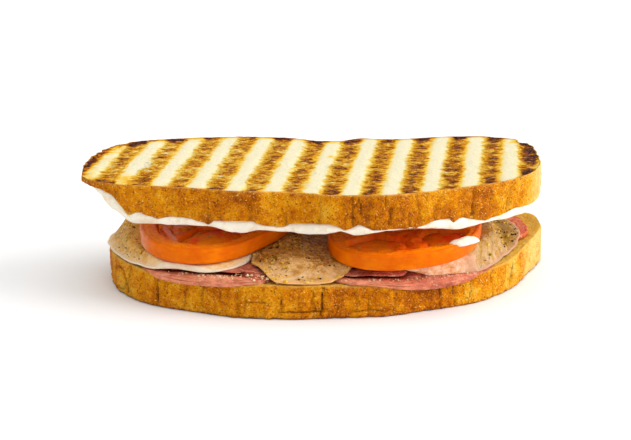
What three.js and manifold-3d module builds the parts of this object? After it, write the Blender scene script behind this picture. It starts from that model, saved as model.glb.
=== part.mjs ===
// Grilled panini: two slices of oval white bread round folded ham, sliced pale
// meat, two slices of tomato and a white spread. Millimetres, +Z up, the long
// way of the bread along X, resting on the flat underside of the lower slice.
import * as THREE from 'three';
import { mergeVertices } from 'three/addons/utils/BufferGeometryUtils.js';
import Module from 'manifold-3d';

// ---------------------------------------------------------------- dimensions
const GAP = 0.35;               // air left between touching pieces
const SLICE_LOW = 13.9;         // thickness of the lower slice
const TOP_BASE = 37.4;          // underside of the upper slice
const TOP_FACE = 50.9;          // grilled face of the upper slice
const EDGE_ROUND = 1.6;         // rounding of the crust's corners
const HAM_TOP = 18.2;           // top of the folded ham
const HAM_END_TOP = 16.3;       // top of the single ham slice at the right end
const PALE_THIN = 1.9;          // one slice of the pale meat
const TOMATO_THICK = 6.2;       // tomato slice
const TOMATO_TILT_X = 0.06;     // both tomatoes rise to the right
const TOMATO_TILT_Y = 0.09;     // and to the back
const SPREAD_RIM = 34.1;        // lower edge of the spread round the rim
const SPREAD_LOW = 34.0;        // its level inside
const END_FROM = -77.5;         // where the upper slice's underside starts to rise to its left end
const END_LIFT = 11.6;          // how far it rises
const END_RUN = 4.3;            // how quickly

// Outlines: a rounded oval with half sizes a, b and squareness n about (x, y),
// bent by harmonics, the mean term first and then cosine and sine pairs.
const TOP_OUTLINE = {
  x: -2.2, y: -3, a: 92.5, b: 45, n: 2.6,
  h: [-0.0209, 0.0097, 0.0144, 0.0385, -0.0918, 0.0128, 0.0761, -0.0002, 0.0346,
    -0.0047, 0.0054, 0.0019, 0.0118, -0.0123, 0.0067, -0.0103, 0.0098, -0.0116, -0.0295],
};
const LOW_OUTLINE = {
  x: 4.1, y: 0, a: 91.6, b: 45, n: 2.6,
  h: [-0.0495, 0.0094, -0.0648, 0.0265, 0.031, -0.0013, 0.0984, -0.0117, 0.0253,
    -0.0262, 0.0365, -0.0196, -0.0064, -0.0053, -0.0005],
};
const TOMATO_LEFT = {
  x: -43, y: -5, a: 30.65, b: 30.65, n: 2,
  h: [0, -0.025, 0.016, 0.001, 0.04, 0.03, 0.01, 0.016, 0.003],
};
const TOMATO_RIGHT = {
  x: 34, y: -19, a: 31.9, b: 31.9, n: 2,
  h: [0, -0.049, 0.005, 0.001, 0.044, 0.006, -0.003, -0.019, 0.016],
};

const rad = (d) => d * Math.PI / 180;
const clamp = (v, lo, hi) => Math.min(hi, Math.max(lo, v));
const smooth = (lo, hi, v) => {
  const t = clamp((v - lo) / (hi - lo), 0, 1);
  return t * t * (3 - 2 * t);
};
const mix = (p, q, t) => p + (q - p) * t;

function radiusOf(o, t) {
  const c = Math.abs(Math.cos(t)) / o.a, s = Math.abs(Math.sin(t)) / o.b;
  let k = 1 + o.h[0];
  for (let i = 1; 2 * i < o.h.length + 1; i++) {
    k += o.h[2 * i - 1] * Math.cos(i * t) + (o.h[2 * i] ?? 0) * Math.sin(i * t);
  }
  return k / Math.pow(Math.pow(c, o.n) + Math.pow(s, o.n), 1 / o.n);
}
// how far (x, y) lies inside an outline, along the ray from its centre
function insideBy(o, x, y) {
  const dx = x - o.x, dy = y - o.y;
  return radiusOf(o, Math.atan2(dy, dx)) - Math.hypot(dx, dy);
}
// a piece's outline, kept a margin inside the lower slice
function clipped(o, margin) {
  return (t) => {
    let r = radiusOf(o, t);
    const step = 0.25;
    while (r > step && insideBy(LOW_OUTLINE, o.x + r * Math.cos(t), o.y + r * Math.sin(t)) < margin) r -= step;
    return r;
  };
}

// ------------------------------------------------------------------ geometry
// A closed body made of rings about (x, y): each ring gives a radius and a
// height for every angle, from the middle of the underside to the middle of
// the top. From ring number swap on, the facets are split the other way.
function ringBody({ x, y, count, rings, low, high, swap = 1e9 }) {
  const pos = [x, y, low];
  for (const ring of rings) {
    for (let i = 0; i < count; i++) {
      const t = (i / count) * 2 * Math.PI;
      const [r, z] = ring(t);
      pos.push(x + r * Math.cos(t), y + r * Math.sin(t), z);
    }
  }
  const last = 1 + rings.length * count;
  pos.push(x, y, high);
  const idx = [];
  const at = (k, i) => 1 + k * count + (i % count);
  for (let i = 0; i < count; i++) idx.push(0, at(0, i + 1), at(0, i));
  for (let k = 0; k + 1 < rings.length; k++) {
    for (let i = 0; i < count; i++) {
      if (k < swap) {
        idx.push(at(k, i), at(k, i + 1), at(k + 1, i + 1));
        idx.push(at(k, i), at(k + 1, i + 1), at(k + 1, i));
      } else {
        idx.push(at(k, i), at(k, i + 1), at(k + 1, i));
        idx.push(at(k, i + 1), at(k + 1, i + 1), at(k + 1, i));
      }
    }
  }
  for (let i = 0; i < count; i++) idx.push(last, at(rings.length - 1, i), at(rings.length - 1, i + 1));
  const g = new THREE.BufferGeometry();
  g.setAttribute('position', new THREE.Float32BufferAttribute(pos, 3));
  g.setIndex(idx);
  g.computeVertexNormals();
  return g;
}

// A slice or fold: outline(t), underside and top as heights over (x, y), and a
// side section of [share of the height, inset] steps.
function slab({ x, y, count, outline, bottom, top, side, shares = [0.45, 0.8] }) {
  const P = (t, r) => [x + r * Math.cos(t), y + r * Math.sin(t)];
  const rings = [];
  for (const s of shares) rings.push((t) => { const r = outline(t) * s; return [r, bottom(...P(t, r))]; });
  for (const [f, inset] of side) {
    rings.push((t) => {
      const r = outline(t) - inset;
      const p = P(t, r);
      return [r, mix(bottom(...p), top(...p), f)];
    });
  }
  for (const s of [...shares].reverse()) rings.push((t) => { const r = outline(t) * s; return [r, top(...P(t, r))]; });
  return ringBody({ x, y, count, rings, low: bottom(x, y), high: top(x, y) });
}

// ---------------------------------------------------------------- the slices
// the upper slice's underside over a point: level, then curving up to the left end
const underTop = (x) => TOP_BASE + END_LIFT * (1 - Math.exp(-Math.log(1 + Math.exp(END_FROM - x)) / END_RUN));
const lowR = (t) => radiusOf(LOW_OUTLINE, t);
const topR = (t) => radiusOf(TOP_OUTLINE, t);

function lowerSlice() {
  const o = LOW_OUTLINE, e = EDGE_ROUND;
  const ring = (inset, z) => (t) => [lowR(t) - inset, z];
  return ringBody({
    x: o.x, y: o.y, count: 72, low: 0, high: SLICE_LOW,
    rings: [ring(e, 0), ring(0.4 * e, 0.5 * e), ring(0, 0.45 * SLICE_LOW),
      ring(0.3, SLICE_LOW - 0.7 * e), ring(1.1, SLICE_LOW)],
  });
}

// the upper slice's side: [inset, share of the height] steps, and the insets of
// the rings across its underside, which the spread below it shares
const UPPER_SIDE = [[1.2, 0], [0.4, 0.08], [0, 0.4], [0.1, 0.75], [0.5, 0.93], [1.8, 1]];
const UNDER_RINGS = [22, 16, 11, 7, 4];
const topX = (t, r) => TOP_OUTLINE.x + r * Math.cos(t);
const upperSide = (t, [inset, f]) => {
  const r = topR(t) - inset;
  return [r, mix(underTop(topX(t, r)), TOP_FACE, f)];
};

function upperSlice() {
  return ringBody({
    x: TOP_OUTLINE.x, y: TOP_OUTLINE.y, count: 72, low: TOP_BASE, high: TOP_FACE,
    rings: [...UNDER_RINGS.map((inset) => [inset, 0]), ...UPPER_SIDE].map((step) => (t) => upperSide(t, step)),
  });
}

// the white spread under the upper slice, following its rising left end
const SPREAD_FOLLOW = 0.82;     // the share of that rise its lower side makes
const SPREAD_INSET = 1.5;       // its rim, inside the slice's outline
const SPREAD_END_INSET = 5;     // and more so at the left end
function spread() {
  const wave = (t) => 0.35 * Math.sin(9 * t + 0.6) + 0.25 * Math.sin(17 * t);
  const end = (t) => SPREAD_END_INSET * Math.exp(-(((t * 180 / Math.PI - 180) / 11) ** 2));
  const rim = (t) => topR(t) - SPREAD_INSET - end(t) + wave(t);
  const rise = (t, r) => underTop(topX(t, r)) - TOP_BASE;
  // just under the upper slice's own facets
  const steps = [...UNDER_RINGS, 1.2];
  const facet = (t, r) => {
    const at = (inset) => underTop(topX(t, topR(t) - inset));
    for (let i = 0; i + 1 < steps.length; i++) {
      const a = topR(t) - steps[i], b = topR(t) - steps[i + 1];
      if (r <= b) return mix(at(steps[i]), at(steps[i + 1]), clamp((r - a) / (b - a), 0, 1));
    }
    return at(1.2);
  };
  const ceiling = (t, r) => facet(t, r) - GAP - 0.3 * smooth(0.2, 1.2, rise(t, r));
  const floor = (t, r) => mix(SPREAD_LOW, SPREAD_RIM, smooth(30, 8, topR(t) - r)) + SPREAD_FOLLOW * rise(t, r);
  const under = (inset) => (t) => { const r = Math.min(topR(t) - inset, rim(t) - 1.4); return [r, floor(t, r)]; };
  const over = (inset) => (t) => {
    const r = Math.min(topR(t) - inset, rim(t) - 0.9);
    return [r, ceiling(t, r) - (r < topR(t) - inset - 0.01 ? 0.25 : 0)];
  };
  const rings = [
    (t) => [rim(t) * 0.5, SPREAD_LOW],
    under(18), under(11), under(5),
    (t) => [rim(t) - 0.9, floor(t, rim(t) - 0.9)],
    (t) => [rim(t), mix(floor(t, rim(t)), ceiling(t, rim(t)), 0.5)],
    (t) => [rim(t) - 0.5, ceiling(t, rim(t) - 0.5) - 0.3],
    ...[...UNDER_RINGS].reverse().map(over),
  ];
  return ringBody({ x: TOP_OUTLINE.x, y: TOP_OUTLINE.y, count: 72, rings, low: SPREAD_LOW, high: TOP_BASE - GAP, swap: 6 });
}

// -------------------------------------------------------------- the tomatoes
const tomatoFloorL = (x, y) => 20.4 + TOMATO_TILT_X * (x + 48) + TOMATO_TILT_Y * (y + 36);
const tomatoFloorR = (x, y) => 20.2 + TOMATO_TILT_X * (x - 28) + TOMATO_TILT_Y * (y + 50);

let manifold = null;
async function kernel() {
  if (!manifold) { manifold = await Module(); manifold.setup(); }
  return manifold;
}
function solidOf(wasm, geometry) {
  let g = geometry.clone();
  g.deleteAttribute('normal');
  g.deleteAttribute('uv');
  g = mergeVertices(g, 1e-4);
  return new wasm.Manifold(new wasm.Mesh({
    numProp: 3, vertProperties: new Float32Array(g.attributes.position.array),
    triVerts: new Uint32Array(g.index.array),
  }));
}
function geometryOf(solid) {
  const m = solid.getMesh();
  const g = new THREE.BufferGeometry();
  g.setAttribute('position', new THREE.Float32BufferAttribute(m.vertProperties, 3));
  g.setIndex(new THREE.Uint32BufferAttribute(m.triVerts, 1));
  g.computeVertexNormals();
  return g;
}

// A disc of tomato: skin round the outside, and seed hollows between the fleshy
// wall and the core, each hollow open at the cut face.
async function tomato(outline, floor, hollows, depth) {
  const wasm = await kernel();
  const R = (t) => radiusOf(outline, t);
  const disc = slab({
    x: outline.x, y: outline.y, count: 48, outline: R, bottom: floor,
    top: (x, y) => floor(x, y) + TOMATO_THICK,
    side: [[0, 0.9], [0.3, 0.1], [0.7, 0], [1, 0.7]], shares: [],
  });
  let solid = solidOf(wasm, disc);
  for (const [fromDeg, toDeg, inner, outer] of hollows) {
    const shape = new THREE.Shape();
    const n = 7;
    for (let i = 0; i <= n; i++) {
      const t = rad(mix(fromDeg, toDeg, i / n));
      const r = R(t) * outer * (1 - 0.06 * Math.pow(2 * i / n - 1, 2));
      const p = [outline.x + r * Math.cos(t), outline.y + r * Math.sin(t)];
      if (i === 0) shape.moveTo(...p); else shape.lineTo(...p);
    }
    for (let i = 3; i >= 0; i--) {
      const t = rad(mix(fromDeg, toDeg, 0.15 + 0.7 * i / 3));
      const r = R(t) * inner * (1 + 0.18 * Math.pow(2 * i / 3 - 1, 2));
      shape.lineTo(outline.x + r * Math.cos(t), outline.y + r * Math.sin(t));
    }
    const cut = new THREE.ExtrudeGeometry(shape, { depth: 20, bevelEnabled: false, steps: 1 });
    const p = cut.attributes.position;
    for (let i = 0; i < p.count; i++) {
      const base = floor(p.getX(i), p.getY(i)) + TOMATO_THICK - depth;
      p.setZ(i, base + p.getZ(i));
    }
    solid = solid.subtract(solidOf(wasm, cut));
  }
  return geometryOf(solid);
}
// each hollow: from and to angle, then inner and outer share of the radius
const HOLLOWS_LEFT = [[228, 298, 0.30, 0.77], [312, 372, 0.30, 0.72], [26, 88, 0.28, 0.72], [102, 152, 0.28, 0.72], [164, 214, 0.30, 0.74]];
const HOLLOWS_RIGHT = [[204, 248, 0.42, 0.84], [285, 338, 0.36, 0.82], [352, 402, 0.30, 0.74], [56, 108, 0.28, 0.74], [122, 186, 0.28, 0.74]];

// ------------------------------------------------------- the ham and the pale
const HAM_SIDE = [[0, 0.6], [0.18, 0], [0.46, 0.2], [0.54, 2.6], [0.64, 2.6], [0.72, 0.5], [1, 1.2]];
const THIN_SIDE = [[0, 0.5], [0.5, 0], [1, 0.6]];
const hamBottom = () => SLICE_LOW + GAP;

// the pale meat's underside: on the ham, and dropping to the bread past it
function paleBottom(x, y) {
  const onBread = SLICE_LOW + GAP, onHam = HAM_TOP + GAP;
  const left = smooth(-71.5, -77.5, x);
  const right = smooth(70, 77, x);
  const front = smooth(-32, -39, y) * smooth(17, 11, Math.abs(x + 7));
  let z = onHam;
  z = mix(z, onBread, left);
  z = mix(z, HAM_END_TOP + GAP, right);
  z = mix(z, onBread, front);
  return z;
}
// its top: just under the tomatoes, rising behind them, thin where it drapes
function paleTop(x, y) {
  const w = smooth(-11.5, 0.5, x);
  const tomato = mix(tomatoFloorL(x, y), tomatoFloorR(x, y), w) - GAP;
  const rise = 2.2 * smooth(26, 34, y);
  const thin = paleBottom(x, y) + PALE_THIN;
  const left = smooth(-71.5, -77, x);
  const right = smooth(67, 75, x);
  const front = smooth(-31, -38, y) * smooth(17, 11, Math.abs(x + 7));
  let z = tomato + rise;
  z = mix(z, thin, left);
  z = mix(z, thin, right);
  z = mix(z, thin, front);
  return Math.max(z, paleBottom(x, y) + 1.4);
}

// --------------------------------------------------------------- the assembly
const finish = (color, roughness) => new THREE.MeshStandardMaterial({ color, roughness, metalness: 0 });
const crust = () => finish('#c98a2e', 0.7);
const group = new THREE.Group();
function add(name, geometry, material) {
  const mesh = new THREE.Mesh(geometry, material);
  mesh.name = name;
  group.add(mesh);
}
function addSlab(name, o, margin, count, side, bottom, top, material, shares) {
  add(name, slab({ x: o.x, y: o.y, count, outline: clipped(o, margin), side, bottom, top, shares }), material);
}

const HAM_LEFT = { x: -44.5, y: -3, a: 24, b: 43, n: 3.2, h: [0] };
const HAM_RIGHT = { x: 37, y: -3, a: 30, b: 44, n: 3.2, h: [0] };
const HAM_END = { x: 79.5, y: 18, a: 12.5, b: 18, n: 2.6, h: [0] };
const PALE_LEFT = { x: -58, y: 0, a: 30.2, b: 40, n: 3, h: [0] };
const PALE_MIDDLE = { x: -7, y: -4, a: 20, b: 42, n: 2.4, h: [0] };
const PALE_RIGHT = { x: 49, y: -2, a: 34.5, b: 42, n: 3, h: [0] };

add('bread_bottom', lowerSlice(), crust());
addSlab('ham_left', HAM_LEFT, 0.8, 40, HAM_SIDE, hamBottom, () => HAM_TOP, finish('#d98a84', 0.45), []);
addSlab('ham_right', HAM_RIGHT, 0.8, 44, HAM_SIDE, hamBottom, () => HAM_TOP, finish('#d98a84', 0.45), []);
addSlab('ham_end', HAM_END, 3.2, 28, THIN_SIDE, hamBottom, () => HAM_END_TOP, finish('#d0645a', 0.45), []);
addSlab('pale_left', PALE_LEFT, 1.0, 44, THIN_SIDE, paleBottom, paleTop, finish('#e6d3b8', 0.5), [0.4, 0.7, 0.88]);
addSlab('pale_middle', PALE_MIDDLE, 1.6, 40, THIN_SIDE, paleBottom, paleTop, finish('#cbb27c', 0.55), [0.4, 0.7, 0.88]);
addSlab('pale_right', PALE_RIGHT, 3.0, 44, THIN_SIDE, paleBottom, paleTop, finish('#e3d0b4', 0.5), [0.4, 0.7, 0.88]);
add('tomato_left', await tomato(TOMATO_LEFT, tomatoFloorL, HOLLOWS_LEFT, 3.4), finish('#f0700a', 0.3));
add('tomato_right', await tomato(TOMATO_RIGHT, tomatoFloorR, HOLLOWS_RIGHT, 3.4), finish('#f0700a', 0.3));
add('spread_white', spread(), finish('#f6f3ee', 0.4));
add('bread_top', upperSlice(), crust());

// origin: the middle of the footprint's box, on the surface it rests on
const box = new THREE.Box3().setFromObject(group);
group.position.set(-(box.min.x + box.max.x) / 2, -(box.min.y + box.max.y) / 2, -box.min.z);
group.updateMatrixWorld(true);

export default group;
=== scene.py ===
import math

import bpy
import numpy as np
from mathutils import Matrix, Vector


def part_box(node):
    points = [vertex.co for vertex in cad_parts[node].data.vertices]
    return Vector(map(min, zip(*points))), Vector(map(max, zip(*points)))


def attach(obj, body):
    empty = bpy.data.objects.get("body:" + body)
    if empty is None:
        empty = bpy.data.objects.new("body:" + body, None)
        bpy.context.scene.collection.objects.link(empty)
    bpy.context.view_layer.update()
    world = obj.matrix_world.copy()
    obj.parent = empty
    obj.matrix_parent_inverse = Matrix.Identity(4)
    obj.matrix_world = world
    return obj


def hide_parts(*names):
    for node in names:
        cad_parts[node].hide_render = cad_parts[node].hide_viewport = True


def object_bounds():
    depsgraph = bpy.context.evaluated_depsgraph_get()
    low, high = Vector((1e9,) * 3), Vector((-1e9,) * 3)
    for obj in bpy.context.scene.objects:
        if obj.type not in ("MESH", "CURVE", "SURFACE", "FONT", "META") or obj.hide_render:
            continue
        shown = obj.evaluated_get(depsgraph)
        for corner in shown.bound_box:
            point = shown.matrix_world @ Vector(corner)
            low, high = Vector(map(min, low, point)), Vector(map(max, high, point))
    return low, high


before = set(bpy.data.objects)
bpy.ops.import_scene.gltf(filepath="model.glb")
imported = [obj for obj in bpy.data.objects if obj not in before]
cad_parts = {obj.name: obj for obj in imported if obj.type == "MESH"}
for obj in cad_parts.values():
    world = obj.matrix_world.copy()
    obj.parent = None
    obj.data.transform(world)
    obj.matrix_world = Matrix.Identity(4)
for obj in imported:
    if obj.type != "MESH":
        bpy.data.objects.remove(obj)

CAD_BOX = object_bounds()

# ------------------------------------------------------------------ measures
# Millimetres in the sandwich's own frame; mm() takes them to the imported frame.
SLICE_LOW = 13.9
TOP_BASE = 37.4
TOP_FACE = 50.9
HAM_TOP = 18.2
TOMATO_THICK = 6.2
PITCH = 15.0            # grill bars
BAR_ANGLE = 12.24       # degrees the bars lean from the short way of the bread
BAR_PHASE = 1.85

END_FROM, END_LIFT, END_RUN = -77.5, 11.6, 4.3      # the upper slice's underside curves up at its left end

TOP = dict(x=-2.2, y=-3.0, a=92.5, b=45.0, n=2.6,
           h=[-0.0209, 0.0097, 0.0144, 0.0385, -0.0918, 0.0128, 0.0761, -0.0002, 0.0346,
              -0.0047, 0.0054, 0.0019, 0.0118, -0.0123, 0.0067, -0.0103, 0.0098, -0.0116, -0.0295])
LOW = dict(x=4.1, y=0.0, a=91.6, b=45.0, n=2.6,
           h=[-0.0495, 0.0094, -0.0648, 0.0265, 0.031, -0.0013, 0.0984, -0.0117, 0.0253,
              -0.0262, 0.0365, -0.0196, -0.0064, -0.0053, -0.0005])
# small departures of the baked edges from those outlines: degrees, mm
TOP_WANDER = [(0, 0.6), (6, -0.3), (12, -0.5), (19, 0.0), (26, 1.2), (33, 0.8), (41, 0.0), (50, 2.2), (60, 2.6), (69, -1.8), (80, 1.1), (90, 3.0),
              (100, 2.3), (110, -1.0), (120, 0.6), (130, 1.4), (140, 0.5), (150, 1.5), (160, 1.7), (170, 2.2), (180, 1.4), (186, 1.5), (191, 1.9), (196, 0.9),
              (201, -0.7), (206, 0.1), (212, 0.9), (221, 0.7), (230, -0.5), (240, 0.8), (250, 1.1), (260, -0.5), (270, -1.1), (280, 0.1), (290, 1.1), (300, 0.3),
              (310, -0.9), (320, -0.4), (330, 0.0), (338, -1.0), (345, -1.7), (352, -0.8)]
LOW_WANDER = [(0, -0.1), (7, 0.2), (13, 1.6), (20, 2.6), (28, 2.4), (38, 1.0), (60, 0.2), (90, -0.2), (120, 0.2), (150, 0.0), (168, 0.6), (180, 0.7), (190, 1.0), (200, 0.9), (210, -0.2),
              (220, 0.3), (230, 0.7), (240, 0.1), (250, 0.0), (260, -0.5), (270, -0.9), (280, -0.4), (290, 0.6), (300, 0.5), (310, -0.5), (320, -0.4),
              (330, 0.2), (340, -0.2), (350, 0.2)]
TOM_L = dict(x=-43.0, y=-5.0, a=30.65, b=30.65, n=2.0,
             h=[0, -0.025, 0.016, 0.001, 0.04, 0.03, 0.01, 0.016, 0.003])
TOM_R = dict(x=34.0, y=-19.0, a=31.9, b=31.9, n=2.0,
             h=[0, -0.049, 0.005, 0.001, 0.044, 0.006, -0.003, -0.019, 0.016])


def radius_of(o, t):
    k = 1 + o["h"][0]
    for i in range(1, (len(o["h"]) - 1) // 2 + 1):
        k = k + o["h"][2 * i - 1] * np.cos(i * t) + o["h"][2 * i] * np.sin(i * t)
    return k / ((np.abs(np.cos(t)) / o["a"]) ** o["n"] + (np.abs(np.sin(t)) / o["b"]) ** o["n"]) ** (1 / o["n"])


def _shift():
    t = np.arange(72) / 72 * 2 * np.pi
    r = radius_of(LOW, t)
    x, y = LOW["x"] + r * np.cos(t), LOW["y"] + r * np.sin(t)
    lo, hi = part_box("bread_bottom")
    return ((lo[0] + hi[0]) * 500 - (x.min() + x.max()) / 2, (lo[1] + hi[1]) * 500 - (y.min() + y.max()) / 2)


SHX, SHY = _shift()


def lift(x):
    """How far the upper slice's underside has risen over a point."""
    return END_LIFT * (1 - np.exp(-np.log1p(np.exp(np.clip(END_FROM - np.asarray(x, float), -40, 40))) / END_RUN))


def mm(p):
    """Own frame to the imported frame, in metres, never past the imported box."""
    p = np.array(p, float)
    p[..., 0] += SHX
    p[..., 1] += SHY
    p /= 1000.0
    return np.clip(p, np.array(CAD_BOX[0][:]) + [2e-5, 2e-5, 0], np.array(CAD_BOX[1][:]) - [2e-5, 2e-5, 0])


# -------------------------------------------------------------------- noise
def _hash(i, j, k, seed):
    n = (i * 73856093) ^ (j * 19349663) ^ (k * 83492791) ^ (seed * 40503 + 977)
    n &= 0xFFFFFFFF
    n = ((n ^ (n >> 15)) * 2246822519) & 0xFFFFFFFF
    n = ((n ^ (n >> 13)) * 3266489917) & 0xFFFFFFFF
    n ^= n >> 16
    return (n & 0xFFFFFF) / float(0xFFFFFF) * 2 - 1


def noise3(p, seed=0):
    f = np.floor(p).astype(np.int64)
    w = p - f
    w = w * w * w * (w * (w * 6 - 15) + 10)
    out = 0
    for dx in (0, 1):
        wx = w[..., 0] if dx else 1 - w[..., 0]
        for dy in (0, 1):
            wy = w[..., 1] if dy else 1 - w[..., 1]
            for dz in (0, 1):
                wz = w[..., 2] if dz else 1 - w[..., 2]
                out = out + wx * wy * wz * _hash(f[..., 0] + dx, f[..., 1] + dy, f[..., 2] + dz, seed)
    return out


_TURN = np.array([[0.36, 0.48, -0.8], [-0.8, 0.6, 0.0], [0.48, 0.64, 0.6]])


def fbm(x, y, z, size, octaves=3, seed=0, gain=0.5):
    """Noise from about -1 to 1 with features of that size in mm."""
    x, y, z = np.broadcast_arrays(np.asarray(x, float), np.asarray(y, float), np.asarray(z, float))
    p = np.stack([x, y, z], -1) / size
    out, amp, total = 0, 1.0, 0
    for o in range(octaves):
        p = p @ _TURN.T
        out = out + amp * noise3(p + 17.3 * o, seed + o)
        total += amp
        amp *= gain
        p = p * 2.03
    return out / total


def smooth(lo, hi, v):
    t = np.clip((np.asarray(v, float) - lo) / (hi - lo), 0, 1)
    return t * t * (3 - 2 * t)


def bump1(v, centre, width):
    return np.exp(-((np.asarray(v, float) - centre) / width) ** 2)


def mix(a, b, t):
    return a + (b - a) * t


def ring_interp(deg, table):
    """A closed smooth curve through (degrees, value) points."""
    t = sorted(table)
    xs = np.array([p[0] for p in t], float)
    ys = np.array([p[1] for p in t], float)
    xs = np.concatenate([xs - 360, xs, xs + 360])
    ys = np.concatenate([ys, ys, ys])
    d = np.asarray(deg, float) % 360
    i = np.clip(np.searchsorted(xs, d) - 1, 1, len(xs) - 3)
    x0, x1, x2, x3 = xs[i - 1], xs[i], xs[i + 1], xs[i + 2]
    y0, y1, y2, y3 = ys[i - 1], ys[i], ys[i + 1], ys[i + 2]
    m1 = (y2 - y0) / (x2 - x0)
    m2 = (y3 - y1) / (x3 - x1)
    h = x2 - x1
    u = (d - x1) / h
    return ((2 * u ** 3 - 3 * u ** 2 + 1) * y1 + (u ** 3 - 2 * u ** 2 + u) * h * m1
            + (-2 * u ** 3 + 3 * u ** 2) * y2 + (u ** 3 - u ** 2) * h * m2)


# ------------------------------------------------------------------- meshes
def new_mesh(name, verts, quads=None, tris=None, attrs=None):
    quads = np.zeros((0, 4), np.int64) if quads is None else np.asarray(quads, np.int64)
    tris = np.zeros((0, 3), np.int64) if tris is None else np.asarray(tris, np.int64)
    me = bpy.data.meshes.new(name)
    me.vertices.add(len(verts))
    me.vertices.foreach_set("co", np.asarray(mm(verts), np.float32).ravel())
    loops = np.concatenate([quads.ravel(), tris.ravel()]).astype(np.int32)
    me.loops.add(len(loops))
    me.loops.foreach_set("vertex_index", loops)
    start = np.concatenate([np.arange(len(quads)) * 4, len(quads) * 4 + np.arange(len(tris)) * 3]).astype(np.int32)
    me.polygons.add(len(start))
    me.polygons.foreach_set("loop_start", start)
    me.update(calc_edges=True)
    me.polygons.foreach_set("use_smooth", np.ones(len(start), bool))
    for key, val in (attrs or {}).items():
        a = me.attributes.new(key, "FLOAT", "POINT")
        a.data.foreach_set("value", np.asarray(val, np.float32).ravel())
    me.validate()
    ob = bpy.data.objects.new(name, me)
    bpy.context.scene.collection.objects.link(ob)
    return ob


def ring_mesh(name, X, Y, Z, low, high, attrs=None):
    """A closed skin from rings (rows) of the same number of points, from the middle of the underside to the middle of the top."""
    M, N = X.shape
    verts = np.concatenate([[low], np.stack([X, Y, Z], -1).reshape(-1, 3), [high]])
    i = np.arange(N)
    j = (i + 1) % N
    quads = []
    for k in range(M - 1):
        a, b = 1 + k * N, 1 + (k + 1) * N
        quads.append(np.stack([a + i, a + j, b + j, b + i], -1))
    last = 1 + M * N
    top = 1 + (M - 1) * N
    tris = np.concatenate([np.stack([np.zeros(N, int), 1 + j, 1 + i], -1), np.stack([np.full(N, last), top + i, top + j], -1)])
    at = {}
    for key, val in (attrs or {}).items():
        v = np.broadcast_to(val, (M, N))
        at[key] = np.concatenate([[v[0].mean()], v.ravel(), [v[-1].mean()]])
    return new_mesh(name, verts, np.concatenate(quads), tris, at)


def even_angles(o, n):
    """Angles spaced evenly along an outline, and the length along it at each."""
    t = np.linspace(0, 2 * np.pi, 7201)
    r = radius_of(o, t) if isinstance(o, dict) else o(t)
    x, y = r * np.cos(t), r * np.sin(t)
    s = np.concatenate([[0], np.cumsum(np.hypot(np.diff(x), np.diff(y)))])
    want = np.arange(n) / n * s[-1]
    return np.interp(want, s, t), want


def ride(ob, slot, *nodes):
    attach(ob, "root")
    if nodes:
        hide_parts(*nodes)
    return ob


# ---------------------------------------------------------------- materials
def srgb(r, g, b):
    f = lambda c: c / 12.92 if c <= 0.04045 else ((c + 0.055) / 1.055) ** 2.4
    return (f(r / 255), f(g / 255), f(b / 255), 1.0)


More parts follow.
